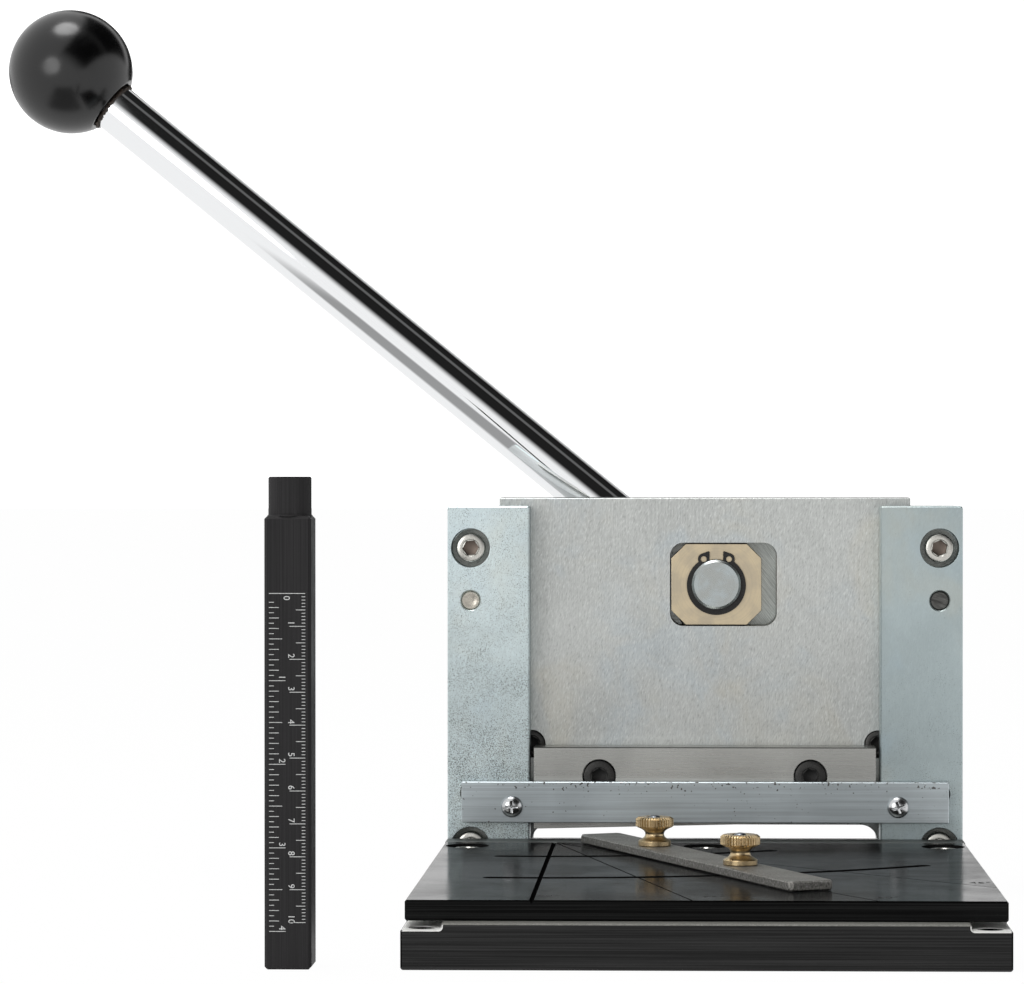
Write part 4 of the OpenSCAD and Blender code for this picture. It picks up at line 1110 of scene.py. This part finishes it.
@dataclass
class Lever:
    """The chromed rod, its ball and the seal ring between them."""

    rod_radius: float = 0.00905
    rod_length: float = 0.24738
    rod_edge: float = 0.0004
    rod_end: float = 0.0003
    thread_radius: float = 0.006
    thread_length: float = 0.02
    chamfer: float = 0.0006
    flat_drop: float = 0.01992
    ball_edge: float = 0.0006
    collar_radius: float = 0.00995
    collar_height: float = 0.0012
    collar_gap: float = 0.0002
    collar_edge: float = 0.0003
    collar_top: float = 0.0005
    collar_belly: float = 0.0001
    ragged: float = 0.00035

    def axis(self) -> Vector:
        """Direction of the rod from the hub to the ball."""
        angle = math.radians(ROD_LEAN)
        return Vector((-math.cos(angle), 0.0, math.sin(angle)))

    def ball_centre(self) -> Vector:
        """Centre of the ball, from its packed box."""
        low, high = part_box("ball_knob")
        return (low + high) / 2.0

    def build(self) -> None:
        """Make the rod, the ball and the seal ring."""
        self.build_rod()
        self.build_ball()
        self.build_collar()

    def build_rod(self) -> None:
        """Turn the rod with its two threaded ends."""
        end, thread, foot = self.rod_length + self.thread_length, self.thread_radius, -self.rod_length
        rod = turned("handle_rod_turned", [
            (-end, thread - self.chamfer),
            (-end + self.chamfer, thread),
            (foot, thread),
            (foot, self.rod_radius - self.rod_edge),
            (foot + self.rod_edge, self.rod_radius),
            (foot / 2.0, self.rod_radius),
            (-self.collar_height, self.rod_radius),
            (0.0, self.rod_radius - self.rod_end),
            (0.0, thread),
            (self.thread_length - self.chamfer, thread),
            (self.thread_length, thread - self.chamfer),
        ], sides=128)
        smooth(rod, under=35.0)
        place(rod, self.ball_centre() - self.flat_drop * self.axis(), self.axis())
        fit(rod, CHROME, "chrome", "handle_rod")

    def build_ball(self) -> None:
        """Cut the ball's flat where the rod enters."""
        low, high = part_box("ball_knob")
        ball = added("ball_knob_moulded", bpy.ops.mesh.primitive_uv_sphere_add, segments=128, ring_count=64,
                     radius=(high.z - low.z) / 2.0)
        with editing(ball):
            bpy.ops.mesh.bisect(plane_co=(0.0, 0.0, -self.flat_drop), plane_no=Facing.UP.value, use_fill=True,
                                clear_inner=True)
        break_edges(ball, self.ball_edge, segments=4, over=20.0)
        smooth(ball, under=25.0)
        place(ball, self.ball_centre(), self.axis())
        fit(ball, KNOB_BLACK, "black_ball", "ball_knob")

    def build_collar(self) -> None:
        """Make the ragged seal ring at the foot of the ball."""
        rim, bore = self.collar_radius, self.thread_radius + self.collar_gap
        ring = turned("knob_collar_ragged", [
            (0.0, bore),
            (0.0, rim - self.collar_edge),
            (self.collar_edge, rim),
            (self.collar_height * 0.6, rim - self.collar_belly),
            (self.collar_height, rim - self.collar_top),
            (self.collar_height, bore),
        ], sides=120)
        with editing(ring, select="DESELECT") as mesh:
            for vertex in mesh.verts:
                vertex.select = vertex.co.xy.length > rim - 2.0 * self.collar_edge
            bpy.ops.transform.vertex_random(offset=self.ragged, uniform=0.4, normal=0.3, seed=7)
        smooth(ring, under=30.0)
        place(ring, self.ball_centre() - (self.flat_drop + self.collar_height) * self.axis(), self.axis())
        fit(ring, SEAL_BROWN, "collar_brown", "knob_collar")


@dataclass
class Crank:
    """The crank's pin, disc and journal."""

    node: str = "crank_shaft"

    def build(self) -> None:
        """Soften the crank and give the disc a finish of its own."""
        crank = solid_copy(self.node, "crank_shaft_finished")
        break_edges(crank, Edge.SHARP.value)
        smooth(crank, under=30.0, flat_faces=True)
        fit(crank, PIN_STEEL, "turned_steel", self.node)
        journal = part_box("slider_block")[1].y
        repaint(crank, DISC_STEEL, lambda centre, face: centre.y > journal)


@dataclass
class ThumbNut:
    """A brass nut with a foot, a drawn in neck and a coarse knurled head."""

    node: str
    foot_radius: float = 0.0056
    foot_height: float = 0.002
    foot_edge: float = 0.0003
    waist_radius: float = 0.0032
    neck_edge: float = 0.0004
    neck_curve: float = 2.4
    head_radius: float = 0.00648
    head_height: float = 0.0038
    head_edge: float = 0.0007
    under_edge: float = 0.0002
    middle: float = 0.0019
    crown: tuple[Pair, ...] = ((0.0007, 0.0), (0.0001, 0.0008), (0.0, 0.0012))
    bore_radius: float = 0.0022
    mouth_edge: float = 0.0005
    teeth: int = 36
    tooth_depth: float = 0.0005
    tooth_reach: float = 0.001

    def neck(self, under: float, steps: int = 8) -> list[Pair]:
        """Stations of the drawn in neck, from the foot up to the head's underside."""
        swell, rise = self.foot_radius - self.neck_edge - self.waist_radius, under - self.foot_height
        return [(self.foot_height + rise * step / steps,
                 self.waist_radius + swell * abs(2.0 * step / steps - 1.0) ** self.neck_curve)
                for step in range(steps + 1)]

    def build(self) -> None:
        """Turn the nut and cut its teeth."""
        low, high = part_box(self.node)
        height = high.z - low.z
        under = height - self.head_height
        nut = turned(f"{self.node}_knurled", [
            (0.0, self.bore_radius),
            (0.0, self.foot_radius - self.foot_edge),
            (self.foot_edge, self.foot_radius),
            (self.foot_height - self.neck_edge, self.foot_radius),
            *self.neck(under),
            (under + self.under_edge, self.head_radius - self.head_edge),
            (under + self.head_edge, self.head_radius),
            (under + self.middle, self.head_radius),
            *((height - drop, self.head_radius - inset) for drop, inset in self.crown),
            (height, self.bore_radius + self.mouth_edge),
            (height - self.mouth_edge, self.bore_radius),
        ], sides=self.teeth * 4)
        with editing(nut, select="DESELECT") as mesh:
            for vertex in mesh.verts:
                turn = math.atan2(vertex.co.y, vertex.co.x) / math.tau * self.teeth
                above = vertex.co.z > under + self.under_edge / 2.0
                outer = above and vertex.co.xy.length > self.head_radius - self.tooth_reach
                vertex.select = outer and (round(turn * 4.0) % 4) in (0, 1)
            share = 1.0 - self.tooth_depth / self.head_radius
            bpy.ops.transform.resize(value=(share, share, 1.0), center_override=(0.0, 0.0, under))
        smooth(nut, under=24.0)
        place(nut, Vector(((low.x + high.x) / 2.0, (low.y + high.y) / 2.0, low.z)), Vector(Facing.UP.value))
        fit(nut, BRASS, "brass", self.node)


@dataclass
class Studs:
    """The fence's two studs with domed tops."""

    node: str = "fence_studs"
    radius: float = 0.00209
    rise: float = 0.0009
    head_radius: float = 0.0044
    head_height: float = 0.0018
    head_edge: float = 0.0003

    def build(self) -> None:
        """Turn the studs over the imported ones, domed at the top."""
        low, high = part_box(self.node)
        foot = low.z - high.z
        model = turned(self.node, [
            (foot, self.head_radius - self.head_edge),
            (foot + self.head_edge, self.head_radius),
            (foot + self.head_height, self.head_radius),
            (foot + self.head_height, self.radius),
            *dome(self.radius, self.rise, -self.rise),
        ], sides=64)
        smooth(model)
        nuts = [sum(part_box(nut), Vector()) / 2.0 for nut in ("rear_thumb_nut", "front_thumb_nut")]
        places = [Vector((centre.x, centre.y, high.z)) for centre in nuts]
        fit(repeated("fence_studs_domed", model, places, Facing.UP), STUD_STEEL, "stud_steel", self.node)


@dataclass
class Scale:
    """Millimetre and inch scales on the gauge bar's front face, placed from its left edge."""

    mm: float = 0.001
    inch: float = 0.0254
    zero: float = 0.1144
    inch_zero: float = 0.1133
    cm_left: float = 0.00775
    cm_half: float = 0.0097
    cm_short: float = 0.01145
    cm_right: float = 0.01255
    inch_left: float = 0.0015
    inch_reach: tuple[float, ...] = (0.003, 0.0045, 0.0055, 0.0065)
    width: float = 0.0002
    proud: float = 0.00002
    sunk: float = 0.0002
    digit: float = 0.0028
    digit_lift: float = 0.00105
    digit_drop: float = 0.0014
    zero_digit: float = 0.0068
    cm_digit: float = 0.0082
    inch_digit: float = 0.0054

    def mark(self, left: float, right: float, at: float) -> Piece:
        """One line of the scale between two places and at one height."""
        low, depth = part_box("gauge_bar")[0], self.proud + self.sunk
        return bar("scale_mark", (right - left, depth, self.width),
                   (low.x + (left + right) / 2.0, low.y - self.proud + depth / 2.0, at))

    def row(self, left: float, right: float, first: float, step: float, count: int) -> Piece:
        """A row of equal lines going down the bar.

        Args:
            left: Where the lines begin.
            right: Where they end.
            first: Height of the first.
            step: Distance from line to line.
            count: How many.

        Returns:
            The row.
        """
        line = self.mark(left, right, first)
        apply_modifier(line, "ARRAY", count=count, use_relative_offset=False, use_constant_offset=True,
                       constant_offset_displace=(0.0, 0.0, -step))
        return line

    def number(self, text: str, x: float, z: float) -> Piece:
        """One number about a centre, turned a quarter to the right."""
        low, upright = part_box("gauge_bar")[0], Matrix.Rotation(math.radians(90.0), 4, "X")
        return lettering(text, self.digit, Vector((low.x + x, low.y - self.proud, z)),
                         upright @ Matrix.Rotation(math.radians(-90.0), 4, "Z"), self.proud + self.sunk)

    def build(self) -> None:
        """Draw both scales and set them in the bar."""
        cm, inch, zero, inches = 10.0 * self.mm, self.inch, self.zero, self.inch_zero
        lines = [
            self.mark(self.inch_left, self.cm_right, zero),
            self.row(self.cm_left, self.cm_right, zero - cm, cm, 10),
            self.row(self.cm_half, self.cm_right, zero - cm / 2.0, cm, 10),
            self.row(self.inch_left, self.inch_reach[3], inches - inch, inch, 4),
            self.row(self.inch_left, self.inch_reach[2], inches - inch / 2.0, inch, 4),
        ]
        lines += [self.row(self.cm_short, self.cm_right, zero - self.mm * (5 * group + 1), self.mm, 4)
                  for group in range(20)]
        lines += [self.row(self.inch_left, self.inch_reach[1], inches - inch * eighth / 8.0, inch / 8.0, 3)
                  for eighth in range(1, 32, 4)]
        lines.append(self.row(self.inch_left, self.inch_reach[0], inches - inch / 16.0, inch / 8.0, 32))
        lines.append(self.number("0", self.zero_digit, zero - self.digit_drop))
        lines += [self.number(str(count), self.cm_digit, zero - cm * count + self.digit_lift)
                  for count in range(1, 11)]
        lines += [self.number(str(count), self.inch_digit, inches - inch * count + self.digit_lift)
                  for count in range(1, 5)]
        scale = joined("gauge_scale", lines)
        WHITE_INK.dress(scale)
        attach(scale, "gauge")
        LOG.info("gauge_scale: %d faces", len(scale.data.polygons))


@dataclass
class AngleLabels:
    """The four angles written on the table beside its lines."""

    size: float = 0.0052
    proud: float = 0.00003
    depth: float = 0.0002
    places: dict[str, Pair] = field(default_factory=lambda: {
        "90°": (-0.0487, -0.1173),
        "75°": (0.0024, -0.1187),
        "60°": (0.0558, -0.12),
        "45°": (0.0874, -0.0773),
    })

    def build(self) -> None:
        """Write the labels on the table."""
        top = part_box("work_table")[1].z + self.proud
        letters = [lettering(text, self.size, Vector((x, y, top)), Matrix.Identity(4), self.depth)
                   for text, (x, y) in self.places.items()]
        labels = joined("angle_labels", letters)
        DARK_INK.dress(labels)
        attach(labels, "frame")
        LOG.info("angle_labels: %d faces", len(labels.data.polygons))


@dataclass
class Studio:
    """Pale floor, soft light and the camera of the photograph."""

    lens: float = 130.472
    sensor: float = 36.0
    shift: Pair = (-0.092, 0.015)
    camera_at: Triple = (-0.00296, -1.26042, 0.14806)
    yaw: float = 1.3935
    pitch: float = -0.3825
    far: float = 100.0
    floor_size: float = 40.0
    floor_glow: float = 0.97
    floor_white: float = 1.008
    wedge_y: tuple[Pair, Pair] = ((-0.4, -0.24), (0.12, 0.04))
    wedge_x: tuple[Pair, Pair] = ((-0.48, -0.37), (-0.12, -0.17))
    wedge_dark: float = 0.66
    wall_arc: tuple[Pair, Pair] = ((5.0, 34.0), (142.0, 134.0))
    strip_arc: tuple[Pair, Pair] = ((148.0, 152.0), (172.0, 168.0))
    streak_arc: tuple[Pair, Pair] = ((73.0, 77.0), (90.0, 86.0))
    wall_ends: Pair = (0.5, 0.38)
    wall_dark: float = 0.985
    streak_light: float = 0.12
    diffuse_light: float = 0.8
    horizon: Pair = (-0.9, -0.97)
    horizon_light: float = 1.9
    backdrop: float = 1.0
    paper: tuple[float, ...] = (0.9, 0.9, 0.9, 1.0)
    white: tuple[float, ...] = (1.0, 1.0, 1.0, 1.0)
    lamps: tuple[tuple[str, Triple, float, float], ...] = (("key_lamp", (-1.1, -1.65, 0.46), 1.1, 7.0),
                                                           ("top_lamp", (-0.35, -0.1, 1.7), 0.8, 9.0))
    lamp_target: Triple = (0.0, 0.0, 0.1)

    def build(self) -> None:
        """Set up the whole studio."""
        self.build_camera()
        self.build_floor()
        self.build_world()
        for lamp in self.lamps:
            self.build_lamp(*lamp)
        bpy.context.scene.view_settings.view_transform = "Standard"

    def build_camera(self) -> None:
        """Add the camera and make it the scene's own."""
        camera = added("Camera", bpy.ops.object.camera_add, location=self.camera_at)
        yaw, pitch = math.radians(self.yaw), math.radians(self.pitch)
        look = Vector((-math.sin(yaw) * math.cos(pitch), math.cos(yaw) * math.cos(pitch), math.sin(pitch)))
        camera.rotation_euler = look.to_track_quat("-Z", "Y").to_euler()
        camera.data.lens = self.lens
        camera.data.sensor_width = self.sensor
        camera.data.shift_x, camera.data.shift_y = self.shift
        camera.data.clip_end = self.far
        bpy.context.scene.camera = camera

    def build_floor(self) -> None:
        """Add the pale floor, which shows white, keeps the object's shadow and looks darker in the chrome."""
        floor = added("studio_floor", bpy.ops.mesh.primitive_plane_add, size=self.floor_size)
        paper = bpy.data.materials.new("floor_paper")
        paper.use_nodes = True
        recipe = Recipe(paper.node_tree)
        recipe.surface(Base_Color=self.paper, Roughness=0.9, Specular_IOR_Level=0.0)
        seen = recipe.sum("MAXIMUM", recipe.ray("Camera"), recipe.ray("Glossy"))
        seen = recipe.sum("MAXIMUM", seen, recipe.ray("Transmission"))
        wedge = recipe.sum("MULTIPLY", recipe.window(recipe.along("Y"), *self.wedge_y),
                           recipe.window(recipe.along("X"), *self.wedge_x))
        wedge = recipe.sum("MULTIPLY", wedge, recipe.ray("Glossy"))
        strength = recipe.less(wedge, self.wedge_dark, self.floor_white)
        glow = recipe.node("Emission", {"Color": self.white, "Strength": strength}, 0)
        share, nodes = recipe.sum("MULTIPLY", seen, self.floor_glow), paper.node_tree.nodes
        shown = recipe.node("MixShader", {0: share, 1: nodes["Principled BSDF"].outputs[0], 2: glow}, 0)
        recipe.feed(nodes["Material Output"].inputs["Surface"], shown)
        floor.data.materials.append(paper)

    def build_world(self) -> None:
        """Light the room white all round, with what the chrome mirrors.

        That is one dark wall along the rod, high on the right, with a faint streak in it, two dark strips to
        the rear and a brighter horizon behind the machine.
        """
        world = bpy.data.worlds.new("studio_room")
        world.use_nodes = True
        bpy.context.scene.world = world
        recipe, lean = Recipe(world.node_tree), math.radians(ROD_LEAN)
        ray, beside = recipe.node("TexCoord", {}, "Generated"), (math.sin(lean), 0.0, math.cos(lean))
        across, along, forward = (
            recipe.node("VectorMath", {0: ray, 1: direction}, "Value", operation="DOT_PRODUCT")
            for direction in (beside, (-math.cos(lean), 0.0, math.sin(lean)), Facing.FRONT.value))
        turn = recipe.sum("DEGREES", recipe.sum("ARCTAN2", across, forward))
        dark = recipe.sum("MAXIMUM", recipe.window(turn, *self.wall_arc),
                          recipe.window(recipe.sum("ABSOLUTE", turn), *self.strip_arc))
        dark = recipe.sum("MULTIPLY", dark, recipe.band(recipe.sum("ABSOLUTE", along), *self.wall_ends))
        streak = recipe.window(turn, *self.streak_arc)
        level = recipe.less(recipe.sum("MULTIPLY", dark, recipe.less(streak, self.streak_light)), self.wall_dark)
        level = recipe.sum("MULTIPLY", level, recipe.band(recipe.ray("Glossy"), 0.0, 1.0, self.diffuse_light, 1.0))
        level = recipe.sum("MULTIPLY", level, recipe.band(forward, *self.horizon, 1.0, self.horizon_light))
        level = recipe.sum("MAXIMUM", level, recipe.sum("MULTIPLY", recipe.ray("Camera"), self.backdrop))
        background = world.node_tree.nodes["Background"]
        recipe.feed(background.inputs["Color"], self.white)
        recipe.feed(background.inputs["Strength"], level)

    def build_lamp(self, name: str, at: Triple, size: float, power: float) -> None:
        """Add a round soft lamp that looks at the machine.

        Args:
            name: The lamp's name.
            at: Its place.
            size: Its diameter.
            power: Its power in watts.
        """
        lamp = added(name, bpy.ops.object.light_add, type="AREA", location=at)
        lamp.rotation_euler = (Vector(self.lamp_target) - Vector(at)).to_track_quat("-Z", "Y").to_euler()
        lamp.data.shape = "DISK"
        lamp.data.size = size
        lamp.data.energy = power


def main() -> None:
    """Build the studio and every piece."""
    logging.basicConfig(level=logging.INFO, format="%(message)s")
    assemblies = (Studio(), Plates(), HiddenParts(), GUIDE_SCREWS, TABLE_SCREWS, BLADE_SCREWS, RAM_SCREWS,
                  PanScrews(), Dowels(), Crank(), Lever(), ThumbNut("rear_thumb_nut"), ThumbNut("front_thumb_nut"),
                  Studs(), Scale(), AngleLabels())
    for assembly in assemblies:
        assembly.build()


if __name__ == "__main__":
    main()
